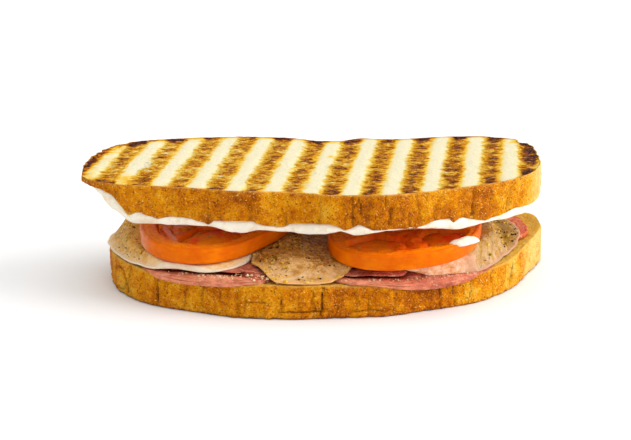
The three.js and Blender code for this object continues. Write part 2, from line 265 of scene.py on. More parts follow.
class Finish:
    """A small helper that wires up a node material."""

    def __init__(self, name):
        self.mat = bpy.data.materials.new(name)
        self.mat.use_nodes = True
        self.nt = self.mat.node_tree
        self.nt.nodes.clear()
        self.out = self.nt.nodes.new("ShaderNodeOutputMaterial")
        self.bsdf = self.nt.nodes.new("ShaderNodeBsdfPrincipled")
        self.nt.links.new(self.bsdf.outputs[0], self.out.inputs[0])
        tc = self.nt.nodes.new("ShaderNodeTexCoord")
        s = self.nt.nodes.new("ShaderNodeVectorMath")
        s.operation = "MULTIPLY_ADD"
        s.inputs[1].default_value = (1000, 1000, 1000)
        s.inputs[2].default_value = (-SHX, -SHY, 0)
        self.nt.links.new(tc.outputs["Object"], s.inputs[0])
        self.pos = s.outputs[0]
        sep = self.nt.nodes.new("ShaderNodeSeparateXYZ")
        self.nt.links.new(self.pos, sep.inputs[0])
        self.x, self.y, self.z = sep.outputs

    def put(self, sock, v):
        if isinstance(v, bpy.types.NodeSocket):
            self.nt.links.new(v, sock)
        elif v is not None:
            sock.default_value = v

    def set(self, **kw):
        for k, v in kw.items():
            self.put(self.bsdf.inputs[k.replace("_", " ")], v)

    def math(self, op, a, b=None, c=None, clamp=False):
        n = self.nt.nodes.new("ShaderNodeMath")
        n.operation = op
        n.use_clamp = clamp
        for i, v in enumerate((a, b, c)):
            self.put(n.inputs[i], v)
        return n.outputs[0]

    def add(self, a, b):
        return self.math("ADD", a, b)

    def mul(self, a, b):
        return self.math("MULTIPLY", a, b)

    def attr(self, name):
        n = self.nt.nodes.new("ShaderNodeAttribute")
        n.attribute_name = name
        return n.outputs["Fac"]

    def stretch(self, sx=1.0, sy=1.0, sz=1.0, off=(0, 0, 0), turn=0.0):
        n = self.nt.nodes.new("ShaderNodeMapping")
        n.inputs["Scale"].default_value = (sx, sy, sz)
        n.inputs["Location"].default_value = off
        n.inputs["Rotation"].default_value = (0, 0, math.radians(turn))
        self.nt.links.new(self.pos, n.inputs[0])
        return n.outputs[0]

    def noise(self, scale, detail=2.0, rough=0.5, vec=None, warp=0.0, seed=0.0):
        n = self.nt.nodes.new("ShaderNodeTexNoise")
        n.noise_dimensions = "4D"
        n.inputs["W"].default_value = seed
        n.inputs["Scale"].default_value = scale
        n.inputs["Detail"].default_value = detail
        n.inputs["Roughness"].default_value = rough
        n.inputs["Distortion"].default_value = warp
        self.nt.links.new(vec or self.pos, n.inputs["Vector"])
        return n.outputs[0]

    def cells(self, scale, feature="F1", out="Distance", vec=None, rand=1.0):
        n = self.nt.nodes.new("ShaderNodeTexVoronoi")
        n.feature = feature
        n.inputs["Scale"].default_value = scale
        n.inputs["Randomness"].default_value = rand
        self.nt.links.new(vec or self.pos, n.inputs["Vector"])
        return n.outputs[out]

    def step(self, lo, hi, v, a=0.0, b=1.0):
        n = self.nt.nodes.new("ShaderNodeMapRange")
        n.interpolation_type = "SMOOTHSTEP"
        self.put(n.inputs[0], v)
        flip = lo > hi
        n.inputs[1].default_value = hi if flip else lo
        n.inputs[2].default_value = lo if flip else hi
        n.inputs[3].default_value = b if flip else a
        n.inputs[4].default_value = a if flip else b
        return n.outputs[0]

    def ramp(self, fac, stops):
        n = self.nt.nodes.new("ShaderNodeValToRGB")
        e = n.color_ramp.elements
        while len(e) < len(stops):
            e.new(0.5)
        for el, (p, c) in zip(e, stops):
            el.position = p
            el.color = srgb(*c) if len(c) == 3 else c
        self.put(n.inputs[0], fac)
        return n.outputs[0]

    def mix(self, fac, a, b, mode="MIX"):
        n = self.nt.nodes.new("ShaderNodeMix")
        n.data_type = "RGBA"
        n.blend_type = mode
        n.clamp_factor = True
        self.put(n.inputs[0], fac)
        for i, v in ((6, a), (7, b)):
            self.put(n.inputs[i], srgb(*v) if isinstance(v, tuple) and len(v) == 3 else v)
        return n.outputs[2]

    def mixf(self, fac, a, b):
        n = self.nt.nodes.new("ShaderNodeMix")
        n.data_type = "FLOAT"
        self.put(n.inputs[0], fac)
        self.put(n.inputs[2], a)
        self.put(n.inputs[3], b)
        return n.outputs[0]

    def bump(self, height, distance, strength=1.0, normal=None):
        n = self.nt.nodes.new("ShaderNodeBump")
        n.inputs["Strength"].default_value = strength
        n.inputs["Distance"].default_value = distance / 1000.0
        self.put(n.inputs["Height"], height)
        if normal is not None:
            self.put(n.inputs["Normal"], normal)
        return n.outputs[0]


UP, SIDE = 1.28, 0.79        # light falling on upward and upright faces, so a tone comes out as written


def lit(stops, e):
    """Colour stops written as they should look, turned into surface colours for that light."""
    out = []
    for p, c in stops:
        r = [max(0.0, (v - 0.004)) / e for v in srgb(*c)[:3]]
        over = max(1.0, max(r) / 0.95)
        r = [v / over for v in r]
        out.append((p, (*r, 1.0)))
    return out


# browner and paler stretches along the crust: 0.5 is even, more is paler (place from the left end to the right); the
# steep climb to pale at the right end is painted light, where the key lamp from the right falls on that end
GREY = lambda v: (v, v, v, 1.0)
BAKE_AND_LIGHT_UP = [(0.0, GREY(0.42)), (0.18, GREY(0.62)), (0.36, GREY(0.48)), (0.50, GREY(0.40)), (0.62, GREY(0.28)), (0.74, GREY(0.33)), (0.90, GREY(0.36)), (1.0, GREY(1.0))]
BAKE_AND_LIGHT_LOW = [(0.0, GREY(0.68)), (0.12, GREY(0.74)), (0.30, GREY(0.70)), (0.42, GREY(0.60)), (0.56, GREY(0.26)), (0.70, GREY(0.38)), (0.86, GREY(0.44)), (0.95, GREY(0.72)), (1.0, GREY(0.95))]


def bread_finish(name, phase, seed):
    """Crust round the side, a grilled face and soft crumb inside: which one comes from the mesh's attributes."""
    m = Finish(name)
    face, inner, edge = m.attr("grilled"), m.attr("crumb"), m.attr("edge")
    crease_shade, scorch, rim = m.attr("crease_shade"), m.attr("scorch"), m.attr("rim")

    def part(noise, gain):
        return m.mul(m.add(noise, -0.5), gain)

    # --- grill bars
    c, s = math.cos(math.radians(BAR_ANGLE)), math.sin(math.radians(BAR_ANGLE))
    u = m.math("SUBTRACT", m.mul(m.x, c), m.mul(m.y, s))
    q = m.mul(m.add(u, -phase), 1 / PITCH)
    tri = m.mul(m.math("ABSOLUTE", m.math("SUBTRACT", m.math("FRACT", m.add(q, 0.5)), 0.5)), PITCH)
    large = m.noise(0.05, 2, 0.5, seed=seed + 7)
    streak = m.noise(1.0, 2, 0.55, m.stretch(0.22, 0.30, 0.4), seed=seed)
    fine = m.noise(1.0, 2, 0.6, m.stretch(0.36, 0.58, 1.0), seed=seed + 3)
    grit = m.noise(1.0, 2, 0.6, m.stretch(1.0, 1.3, 1.0), seed=seed + 4)
    d = m.add(tri, part(streak, 3.6))
    d = m.add(d, part(fine, 3.0))
    d = m.add(d, part(grit, 0.9))
    d = m.add(d, part(large, 5.0))
    bar = m.step(2.4, 7.1, d)
    blotch = m.noise(1.0, 2, 0.55, m.stretch(0.13, 0.20, 1.0), seed=seed + 11)
    end = m.mul(m.step(9.0, 0.6, edge), m.step(3.6, 6.0, d))
    halo = m.step(1.1, 4.8, m.add(tri, m.add(part(streak, 2.6), part(fine, 1.4))))
    b = m.add(m.mul(bar, 0.34), m.mul(halo, 0.20))
    b = m.add(b, m.mul(bar, part(blotch, 1.25)))
    b = m.add(b, m.mul(bar, m.step(-60, 75, m.x, -0.10, 0.07)))
    b = m.add(b, m.mul(bar, part(fine, 1.5)))
    b = m.add(b, m.mul(bar, part(grit, 0.75)))
    b = m.add(b, m.mul(end, m.add(0.24, part(blotch, 1.3))))
    b = m.add(b, m.mul(scorch, m.add(0.45, part(fine, 1.3))))
    b = m.add(b, m.add(part(grit, 0.10), part(fine, 0.10)))
    grill = m.ramp(b, lit([(0.0, (249, 239, 203)), (0.07, (252, 236, 180)), (0.15, (252, 219, 118)), (0.25, (250, 198, 66)), (0.37, (238, 168, 30)),
                           (0.50, (214, 133, 12)), (0.66, (160, 86, 12)), (0.84, (112, 56, 26)), (1.0, (80, 38, 34))], UP))
    # painted highlight: light yellow specks in the bars stand for glints on the toasted face
    glint_fleck = m.mul(m.step(0.60, 0.68, m.noise(1.0, 2, 0.6, m.stretch(0.7, 1.0, 1.0), seed=seed + 21)), bar)
    grill = m.mix(m.mul(glint_fleck, 0.5), grill, lit([(0, (248, 196, 84))], UP)[0][1])
    # --- crust
    patch = m.noise(1.0, 2, 0.5, m.stretch(0.07, 0.07, 0.05), seed=seed + 31)
    mottle = m.noise(0.33, 3, 0.6, seed=seed + 37)
    grain = m.noise(1.25, 3, 0.68, seed=seed + 41)
    dust = m.noise(3.2, 2, 0.6, seed=seed + 43)
    k = m.add(m.add(0.50, part(patch, 1.25)), m.add(part(mottle, 1.0), m.add(part(grain, 0.9), part(dust, 0.6))))
    along = m.ramp(m.step(-100, 100, m.x), BAKE_AND_LIGHT_UP if phase == BAR_PHASE else BAKE_AND_LIGHT_LOW)
    k = m.add(k, part(along, 0.6))
    crust = m.ramp(k, lit([(0.0, (116, 50, 0)), (0.25, (166, 86, 0)), (0.42, (194, 109, 2)), (0.58, (211, 131, 8)),
                           (0.76, (232, 161, 26)), (1.0, (250, 202, 90))], SIDE))
    # painted highlight: the pale specks on the crust stand for sparkles of light on its bubbles
    pale = m.step(0.635, 0.72, m.noise(1.35, 1, 0.5, seed=seed + 51))
    crust = m.mix(m.mul(pale, 0.8), crust, lit([(0, (248, 200, 104))], SIDE)[0][1])
    # painted shade: dark specks stand for the shade inside small pits in the crust
    pit_shade = m.step(0.375, 0.30, m.noise(1.3, 1, 0.5, seed=seed + 55))
    crust = m.mix(m.mul(pit_shade, 0.8), crust, lit([(0, (112, 54, 6))], SIDE)[0][1])
    # painted shade: the cracks are darkened where shade falls in them
    crust = m.mix(m.mul(crease_shade, 0.95), crust, lit([(0, (74, 32, 6))], SIDE)[0][1])
    crust = m.mix(m.mul(rim, 0.7), crust, lit([(0, (242, 200, 112))], SIDE)[0][1])
    # painted light: the crust turns paler yellow towards the right end, where the key light from the right falls on it
    crust = m.mix(m.mul(m.step(81, 91, m.x), m.step(0.3, 0.6, mottle, *((0.6, 1.0) if phase == BAR_PHASE else (0.2, 0.55)))), crust, lit([(0, (250, 222, 146))], SIDE)[0][1])
    burnt = m.ramp(m.add(0.5, part(grain, 2.0)), lit([(0.3, (66, 34, 30)), (0.5, (112, 58, 26)), (0.72, (196, 118, 36))], SIDE))
    crust = m.mix(m.math("MULTIPLY", scorch, 0.95, clamp=True), crust, burnt)
    # --- crumb
    soft = m.noise(0.9, 4, 0.65, seed=seed + 61)
    crumb = m.ramp(soft, lit([(0.3, (212, 150, 40)), (0.5, (238, 186, 74)), (0.7, (252, 224, 140))], 0.64))
    col = m.mix(face, crust, grill)
    col = m.mix(inner, col, crumb)
    # --- relief and gloss
    hb = m.add(m.mul(grain, 1.0), m.add(m.mul(dust, 0.45), m.mul(mottle, 0.8)))
    hf = m.add(m.mul(fine, 1.0), m.add(m.mul(grit, 0.6), m.mul(m.noise(3.6, 2, 0.6, seed=seed + 73), 0.25)))
    h = m.mixf(face, m.mul(hb, 1.0), m.mul(hf, m.add(0.35, m.mul(bar, 0.9))))
    n1 = m.bump(h, 1.5, 0.9)
    gloss = m.step(0.52, 0.66, m.noise(1.6, 2, 0.6, seed=seed + 81))
    rough = m.mixf(face, m.mixf(gloss, 0.62, 0.36), m.mixf(m.mul(bar, gloss), 0.75, 0.30))
    rough = m.mixf(inner, rough, 0.9)
    spec = m.mixf(face, m.mixf(gloss, 0.05, 0.28), m.mixf(m.mul(bar, gloss), 0.04, 0.45))
    m.set(Base_Color=col, Roughness=rough, Normal=n1, Specular_IOR_Level=spec)
    return m.mat


# --------------------------------------------------------------- the slices
# lower edge of the upper crust along the front: x, height
CRUST_EDGE = [(-96, 37.2), (-89.5, 36.9), (-85, 36.5), (-82.8, 35.9), (-79.6, 35.8), (-78.2, 37.4), (-76.8, 39.2), (-74.7, 39.8), (-70.7, 38.5),
              (-67.3, 37.5), (-63.6, 38.5), (-56.5, 38.7), (-51.9, 37.7), (-49.2, 37.2), (-47.8, 36.2), (-45.7, 38.2), (-38.6, 38.6), (-30.6, 38.7),
              (-25.5, 37.0), (-18.2, 36.6), (-15.9, 38.1), (-8.1, 38.6), (-0.6, 39.0), (2.5, 38.2), (5.1, 36.8), (8, 37.8), (10.9, 39.2), (13.5, 38.0),
              (16.1, 36.7), (27, 36.9), (33.1, 36.3), (36, 37.2), (39.1, 38.4), (44, 38.9), (47.3, 38.8), (48.7, 36.7), (50.3, 37.8), (52.5, 38.7),
              (57, 37.4), (62.4, 36.0), (68.4, 36.9), (75.4, 38.6), (82, 37.8), (92, 37.2)]
# lower edge of the spread along the front
SPREAD_EDGE = [(-96, 37), (-90.1, 36.2), (-88.6, 33.9), (-86.1, 32.8), (-83, 33.5), (-79.9, 34.9), (-76.9, 36.3), (-71.4, 36.3), (-66.4, 35.4),
               (-61.2, 35.0), (-55.7, 35.4), (-48.2, 35.5), (-43.6, 34.9), (-39.3, 33.6), (-33.5, 33.8), (-27.9, 35.1), (-21.7, 34.5), (-14, 34.0),
               (-8.1, 34.1), (-2, 35.0), (3.6, 36.1), (6.5, 35.2), (9.2, 34.5), (15, 35.1), (21.2, 36.2), (28, 36.5), (33.1, 36.3), (38, 35.8),
               (42.4, 35.1), (46.5, 34.4), (50.9, 33.9), (54.5, 33.9), (58.7, 34.1), (63.5, 35.0), (68.4, 34.8), (74.3, 34.9), (82.8, 34.7), (90, 35.6)]


def along_front(table, x, t, seed, mean, swing):
    """Follows a table of heights on the front and left, and a like wave on the back."""
    xs, ys = zip(*table)
    front = np.interp(x, xs, ys)
    back = mean + swing * fbm(x, 0 * x, 0 * x + 9, 14, 2, seed) * 1.6
    w = smooth(0.0, 0.35, np.sin(t)) * smooth(-1.2, -0.7, np.cos(t + 0.0))
    return mix(front, back, smooth(-0.05, 0.3, np.sin(t)))


def creases(s, t, x, y, f, marks, extra_seed, count, length):
    """Depth and painted shade of upright cracks round a crust: marks on the front by x, and seeded ones elsewhere."""
    rng = np.random.default_rng(extra_seed)
    depth = np.zeros_like(f)
    dark = np.zeros_like(f)
    items = []
    for (mx, w, dep, lo, hi, lean) in marks:
        i = np.argmin(np.abs(x[0] - mx) + 1000 * (np.sin(t) > -0.02))
        items.append((s[i], w, dep, lo, hi, lean))
    total = s[-1]
    for _ in range(count):
        i = rng.integers(len(s))
        if math.sin(t[i]) < 0.05:
            lo = rng.uniform(-0.2, 0.6)
            items.append((s[i], rng.uniform(0.35, 0.8), rng.uniform(0.25, 0.7), lo, lo + rng.uniform(0.25, 0.7), rng.uniform(-2.5, 2.5)))
            continue
        items.append((s[i], rng.uniform(0.5, 1.2), rng.uniform(0.3, 0.9), rng.uniform(-0.3, 0.2), rng.uniform(0.7, 1.3), rng.uniform(-2, 2)))
    for n, (sc, w, dep, lo, hi, lean) in enumerate(items):
        wob = lean * (f - 0.5) + 0.7 * fbm(f * 13.5, 0 * f, 0 * f + 5.0 * n, 3.0, 2, 60 + n)
        d = (s[None, :] - sc - wob + total / 2) % total - total / 2
        band = smooth(lo - 0.15, lo + 0.1, f) * smooth(hi + 0.15, hi - 0.1, f)
        g = np.exp(-(d / w) ** 2) * band
        depth += dep * g
        dark = np.maximum(dark, np.exp(-(d / (0.55 * w)) ** 2) * band * min(1.0, dep / 0.9))
    return depth, dark


def wander(t, table):
    return ring_interp(np.degrees(t), table)


def table_at(v, table, blur=1.8):
    xs, ys = zip(*table)
    return sum(w * np.interp(np.asarray(v, float) + d * blur, xs, ys) for d, w in ((-1.5, 0.12), (-0.75, 0.22), (0, 0.32), (0.75, 0.22), (1.5, 0.12)))


def low_inset(x, y):
    """How far a point lies inside the lower slice's edge."""
    dx, dy = x - LOW["x"], y - LOW["y"]
    a = np.arctan2(dy, dx)
    R = radius_of(LOW, a)
    slant = (radius_of(LOW, a + 0.002) - radius_of(LOW, a - 0.002)) / 0.004 / R
    return (R + wander(a, LOW_WANDER) - np.hypot(dx, dy)) / np.sqrt(1 + slant ** 2)


# how far the front edge of the lower slice, and all that lies on it, is pressed down
SAG = [(-92, -0.9), (-74, -0.9), (-70, -0.5), (-67.5, 0.3), (-65, 0.8), (-60, 1.2), (-55, 1.2), (-50, 1.0), (-45, 0.6), (-40, 0.1), (-35, -0.4),
       (-30, -0.6), (-25, -0.4), (-15, -0.3), (-5, -0.2), (2, -0.1), (10, 0.1), (16, 0.6), (21, 1.2), (27, 1.9), (30, 2.2), (35, 2.7), (40, 3.0),
       (45, 3.0), (50, 2.6), (56, 1.9), (62, 1.2), (68, 0.7), (74, 0.3), (80, 0.0), (92, 0.0)]


def sag(x, y):
    return table_at(x, SAG) * smooth(8, 0, low_inset(x, y)) * smooth(4, -8, y)


SIDES = {}


def bread(name, O, upper):
    N = 660
    t, s = even_angles(O, N)
    R0 = radius_of(O, t) + wander(t, TOP_WANDER if upper else LOW_WANDER)
    ct, st = np.cos(t), np.sin(t)
    deg = np.degrees(t)
    edge_x = O["x"] + R0 * ct
    if upper:
        z0 = along_front(CRUST_EDGE, edge_x, t, 3, 36.9, 1.2) + lift(edge_x)
        z1 = np.full(N, TOP_FACE - 0.05)
        rb, rt = 0.8, 0.5
    else:
        z0 = np.zeros(N)
        flat = np.minimum(SLICE_LOW, SLICE_LOW - 0.25 + 0.5 * fbm(edge_x, st * 40, 0, 12, 2, 8))
        curl = 2.8 * bump1(deg, 19, 13)
        z1 = flat - sag(O["x"] + (R0 - 0.8) * ct, O["y"] + (R0 - 0.8) * st) + curl
        rb, rt = 1.1, 1.0
    # the outline is uneven, more so at the burnt left tip and the right back corner
    rag = 0.55 + (0.9 * bump1(deg, 168, 30) + 0.8 * bump1(deg, 16, 12) if upper else 0.10)
    px, py = R0 * ct, R0 * st
    R = R0 + 0.05 - rag * (0.5 + 0.9 * fbm(px, py, 0, 2.2, 2, 21 + upper)) - 0.35 * (0.5 + 0.5 * fbm(px, py, 3, 9, 2, 25 + upper))
    if upper:
        R = R - 1.7 * bump1(deg, 17.5, 1.3) + 0.6 * bump1(deg, 21, 1.5)
    F = np.concatenate([np.array([0, .010, .025, .045, .07, .10, .13]), np.linspace(.165, .87, 30), np.array([.90, .925, .948, .966, .98, .991, 1.0])])
    f = F[:, None] * np.ones((1, N))
    H = (z1 - z0)[None, :]
    fb, ft = np.minimum(0.35, rb / H), np.minimum(0.35, rt / H)
    inb = rb * (1 - np.sqrt(np.clip(1 - (1 - np.clip(f / fb, 0, 1)) ** 2, 0, 1)))
    intp = rt * (1 - np.sqrt(np.clip(1 - (1 - np.clip((1 - f) / ft, 0, 1)) ** 2, 0, 1)))
    belly = 0.25 * np.sin(np.pi * np.clip(f, 0, 1))
    r = R[None, :] - inb - intp + 0.15 + belly
    z = z0[None, :] + f * H
    x = O["x"] + r * ct
    y = O["y"] + r * st
    if upper:
        marks = [(55.8, 0.7, 0.7, 0.1, 0.95, 1.0), (8.0, 1.0, 0.55, -0.3, 0.95, 0.5), (-4.2, 0.8, 0.35, 0.2, 0.9, -1.0), (14.0, 1.4, 0.3, -0.3, 1.1, 0.6),
                 (-30, 1.0, 0.3, 0.0, 0.6, 2.0), (-46.5, 0.9, 0.6, -0.4, 0.30, 0.0), (33, 1.2, 0.3, 0.1, 1.0, -1.5), (72, 0.9, 0.3, 0, 0.8, 1.0), (-17, 0.7, 0.4, -0.4, 0.3, 0.3)]
    else:
        marks = [(-77.6, 0.6, 1.2, 0.05, 1.2, 2.4), (-66.0, 0.45, 1.1, 0.1, 1.2, 0.4), (-3.6, 0.45, 1.2, 0.05, 1.2, 0.5), (-11.8, 0.9, 0.3, 0.2, 0.9, 0.6),
                 (43.4, 0.4, 1.0, 0.25, 1.2, 0.3), (49.5, 0.45, 1.0, 0.1, 1.1, -1.2), (56.5, 0.6, 0.6, 0.1, 0.9, 1.8), (66, 0.5, 0.7, 0.0, 0.8, -2.5),
                 (-49, 0.7, 0.55, 0.2, 1.2, 0.7), (-36, 1.2, 0.3, 0, 0.7, -1.2), (25, 0.8, 0.35, 0.1, 0.8, 1.4), (76, 0.5, 0.9, 0.3, 1.2, 2.0), (10, 0.8, 0.3, 0.3, 0.9, -0.8)]
    cdep, crack_shade = creases(s, t, np.broadcast_to(x, f.shape), y, f, marks, 5 + upper, 34, s[-1])
    mid = smooth(0, 0.12, f) * smooth(1, 0.9, f)
    lumps = 0.5 * fbm(x, y, z * 0.4, 9, 2, 31 + upper) + 0.45 * fbm(x, y, z * 0.8, 4.4, 2, 35 + upper) + 0.34 * fbm(x, y, z, 2.1, 2, 39 + upper) + 0.18 * fbm(x, y, z, 1.0, 1, 43 + upper)
    r = r + (lumps - 0.25) * (0.30 + 0.70 * mid) - cdep * (0.25 + 0.75 * mid)
    if not upper:
        # a rounded knob at the left end, and splits low on the front, with painted shade in the groove round the knob
        # and in the splits
        d = np.hypot(s[None, :] - s[np.argmin(np.abs(edge_x + 82.5) + 1000 * (st > -0.02))], (z - 6.5) * 1.25)
        r = r + 0.7 * bump1(d, 0, 4.2) - 0.8 * np.exp(-((d - 5.6) / 0.8) ** 2)
        crack_shade = np.maximum(crack_shade, 0.5 * np.exp(-((d - 5.6) / 0.5) ** 2))
        for zc, xa, xb, amt in ((3.2, -20, -3, 0.7), (6.6, -34, -24, 0.45), (2.6, 8, 22, 0.5), (4.4, -8, 0, 0.4)):
            lv = np.exp(-((z - zc - 0.7 * fbm(x, 0, zc, 7, 2, 77)) / 0.35) ** 2) * smooth(xa - 2, xa + 2, x) * smooth(xb + 2, xb - 2, x) * (y < 0)
            r = r - amt * lv
            crack_shade = np.maximum(crack_shade, amt * lv)
    sx, sy, sz = O["x"] + r * ct, O["y"] + r * st, z
    SIDES[name] = (sx, sy, sz, np.broadcast_to(ct, sx.shape), np.broadcast_to(st, sx.shape))
    rim = np.exp(-((1 - f) * H / 0.7) ** 2) * (0.5 if upper else 0.8) * (0.6 + 0.5 * fbm(x, y, z, 3, 2, 92))
    low_edge = (0.0 if upper else 1.0) * np.exp(-(f * H / 1.0) ** 2) * np.clip(0.80 + 0.8 * fbm(x, y, 0, 3, 2, 91), 0, 1)
    tip = ((bump1(deg, 166, 24) + 0.8 * bump1(deg, 12, 7))[None, :] * (0.45 + 0.8 * fbm(x, y, z, 3.2, 2, 95)) * smooth(0.2, 0.9, f)) if upper else 0
    scorch_side = np.clip(tip + low_edge, 0, 1) * np.ones_like(f)

    def face_rings(Rm, n_fine, n_in):
        ins = np.concatenate([np.array([0.3, 0.7, 1.2, 1.8, 2.5, 3.3, 4.2]), np.linspace(5.2, 14, n_fine)])
        ring = [Rm - i for i in ins]
        Ri = Rm - 14
        ring += [Ri * q for q in np.linspace(1, 0, n_in + 2)[1:-1]]
        inset = [np.full(N, i) for i in ins] + [Rm - rr for rr in ring[len(ins):]]
        return np.array(ring), np.array(inset)

    tr, te = face_rings(r[-1], 10 if upper else 6, 40 if upper else 16)
    br, be = face_rings(r[0], 7 if upper else 9, 12 if upper else 26)

    def grill_relief(X, Y, phase):
        c, sn = math.cos(math.radians(BAR_ANGLE)), math.sin(math.radians(BAR_ANGLE))
        q = (X * c - Y * sn - phase) / PITCH
        tri = np.abs((q + 0.5) % 1 - 0.5) * PITCH
        bar = smooth(2.0, 5.0, tri + 1.4 * fbm(X * 0.6, Y, 0, 4, 2, 5))
        return -0.45 * bar + 0.20 * fbm(X, Y, 0, 2.6, 3, 12, 0.6) * (0.3 + 0.7 * bar) + 0.16 * fbm(X, Y, 0, 24, 2, 13)

    TX, TY = O["x"] + tr * ct, O["y"] + tr * st
    BX, BY = O["x"] + br * ct, O["y"] + br * st
    if upper:
        TZ = TOP_FACE - 0.20 + grill_relief(TX, TY, BAR_PHASE) * smooth(0, 2.0, te) + 0.10 * fbm(TX, TY, 0, 3, 2, 14)
        tipz = bump1(deg, 170, 26)[None, :] * np.exp(-(te / 5.0) ** 2) * 0.9 * (0.4 + fbm(TX, TY, 0, 2.6, 2, 15))
        TZ = np.minimum(TZ - np.maximum(0, tipz), TOP_FACE)
        w = np.exp(-be / 3)
        BZ = (z0[None, :] - lift(edge_x)[None, :]) * w + (TOP_BASE + 0.2) * (1 - w) + lift(BX)
        t_attr, b_attr = dict(grilled=1.0, crumb=0.0), dict(grilled=0.0, crumb=1.0)
    else:
        TZ = np.minimum(SLICE_LOW, flat[None, :] * np.exp(-te / 3) + (SLICE_LOW - 0.30) * (1 - np.exp(-te / 3)) - 0.15 + 0.40 * fbm(TX, TY, 0, 2.0, 3, 17) * smooth(0, 1, te)) - sag(TX, TY) + curl[None, :] * np.exp(-(te / 3.2) ** 2)
        BZ = np.maximum(0, 0.12 - grill_relief(BX, BY, 4.0) * 0.5 * smooth(0, 3, be) - 0.10)
        BZ = np.where(be < 2.0, 0.0, BZ)
        t_attr, b_attr = dict(grilled=0.0, crumb=1.0), dict(grilled=1.0, crumb=0.0)
    X = np.concatenate([BX[::-1], sx, TX])
    Y = np.concatenate([BY[::-1], sy, TY])
    Z = np.concatenate([BZ[::-1], sz, TZ])
    nb, ns, nt_ = len(BX), len(sx), len(TX)
    col = lambda b, s_, t_: np.concatenate([np.broadcast_to(b, (nb, N)), np.broadcast_to(s_, (ns, N)), np.broadcast_to(t_, (nt_, N))])
    top_scorch = 0.0
    if upper:
        dg = deg[None, :]
        far = smooth(0.05, 0.5, st)[None, :] * np.exp(-(te / 2.6) ** 1.5) * (0.55 + 0.9 * fbm(TX, TY, 0, 8, 2, 41))
        left = bump1(dg, 168, 28) * np.exp(-(te / 4.5) ** 2) * (0.95 + 1.0 * fbm(TX, TY, 0, 4, 3, 43))
        right = bump1(dg, 5, 12) * np.exp(-(te / 7.0) ** 2) * (0.45 + 1.5 * fbm(TX, TY, 0, 5, 3, 44))
        near = smooth(-0.1, -0.5, st)[None, :] * np.exp(-(te / 1.0) ** 2) * np.clip(0.30 + 1.5 * fbm(TX, TY, 0, 6, 2, 45), 0, 1)
        spots = 0.6 * bump1(np.hypot(TX + 78, (TY + 19) * 0.8), 0, 5.0) + 0.5 * bump1(np.hypot(TX - 5, TY - 9), 0, 1.6) - 0.9 * bump1(np.hypot(TX + 72.5, (TY - 4)), 0, 5.5)
        top_scorch = np.clip(far + left + right + 0.8 * near + spots, -0.6, 1)
    attrs = dict(
        grilled=col(b_attr["grilled"], 0.0, t_attr["grilled"]),
        crumb=col(b_attr["crumb"], np.clip(0.0 if upper else np.exp(-((1 - f) * H / 0.5) ** 2) * (0.65 + 0.5 * fbm(x, y, 0, 9, 2, 93)), 0, 1), t_attr["crumb"]),
        edge=col(be[::-1], 0.0, te),
        crease_shade=col(0.0, crack_shade, 0.0),
        rim=col(0.0, np.clip(rim, 0, 1), 0.0),
        scorch=col(0.0, scorch_side, top_scorch),
    )
    return ring_mesh(name, X, Y, Z, (O["x"], O["y"], BZ[-1].mean()), (O["x"], O["y"], TZ[-1].mean()), attrs)


lower = bread("lower_slice", LOW, False)
upper = bread("upper_slice", TOP, True)
lower.data.materials.append(bread_finish("toasted_bread_lower", 4.0, 10.0))
upper.data.materials.append(bread_finish("toasted_bread_upper", BAR_PHASE, 3.0))
ride(lower, "bread", "bread_bottom")
ride(upper, "bread", "bread_top")


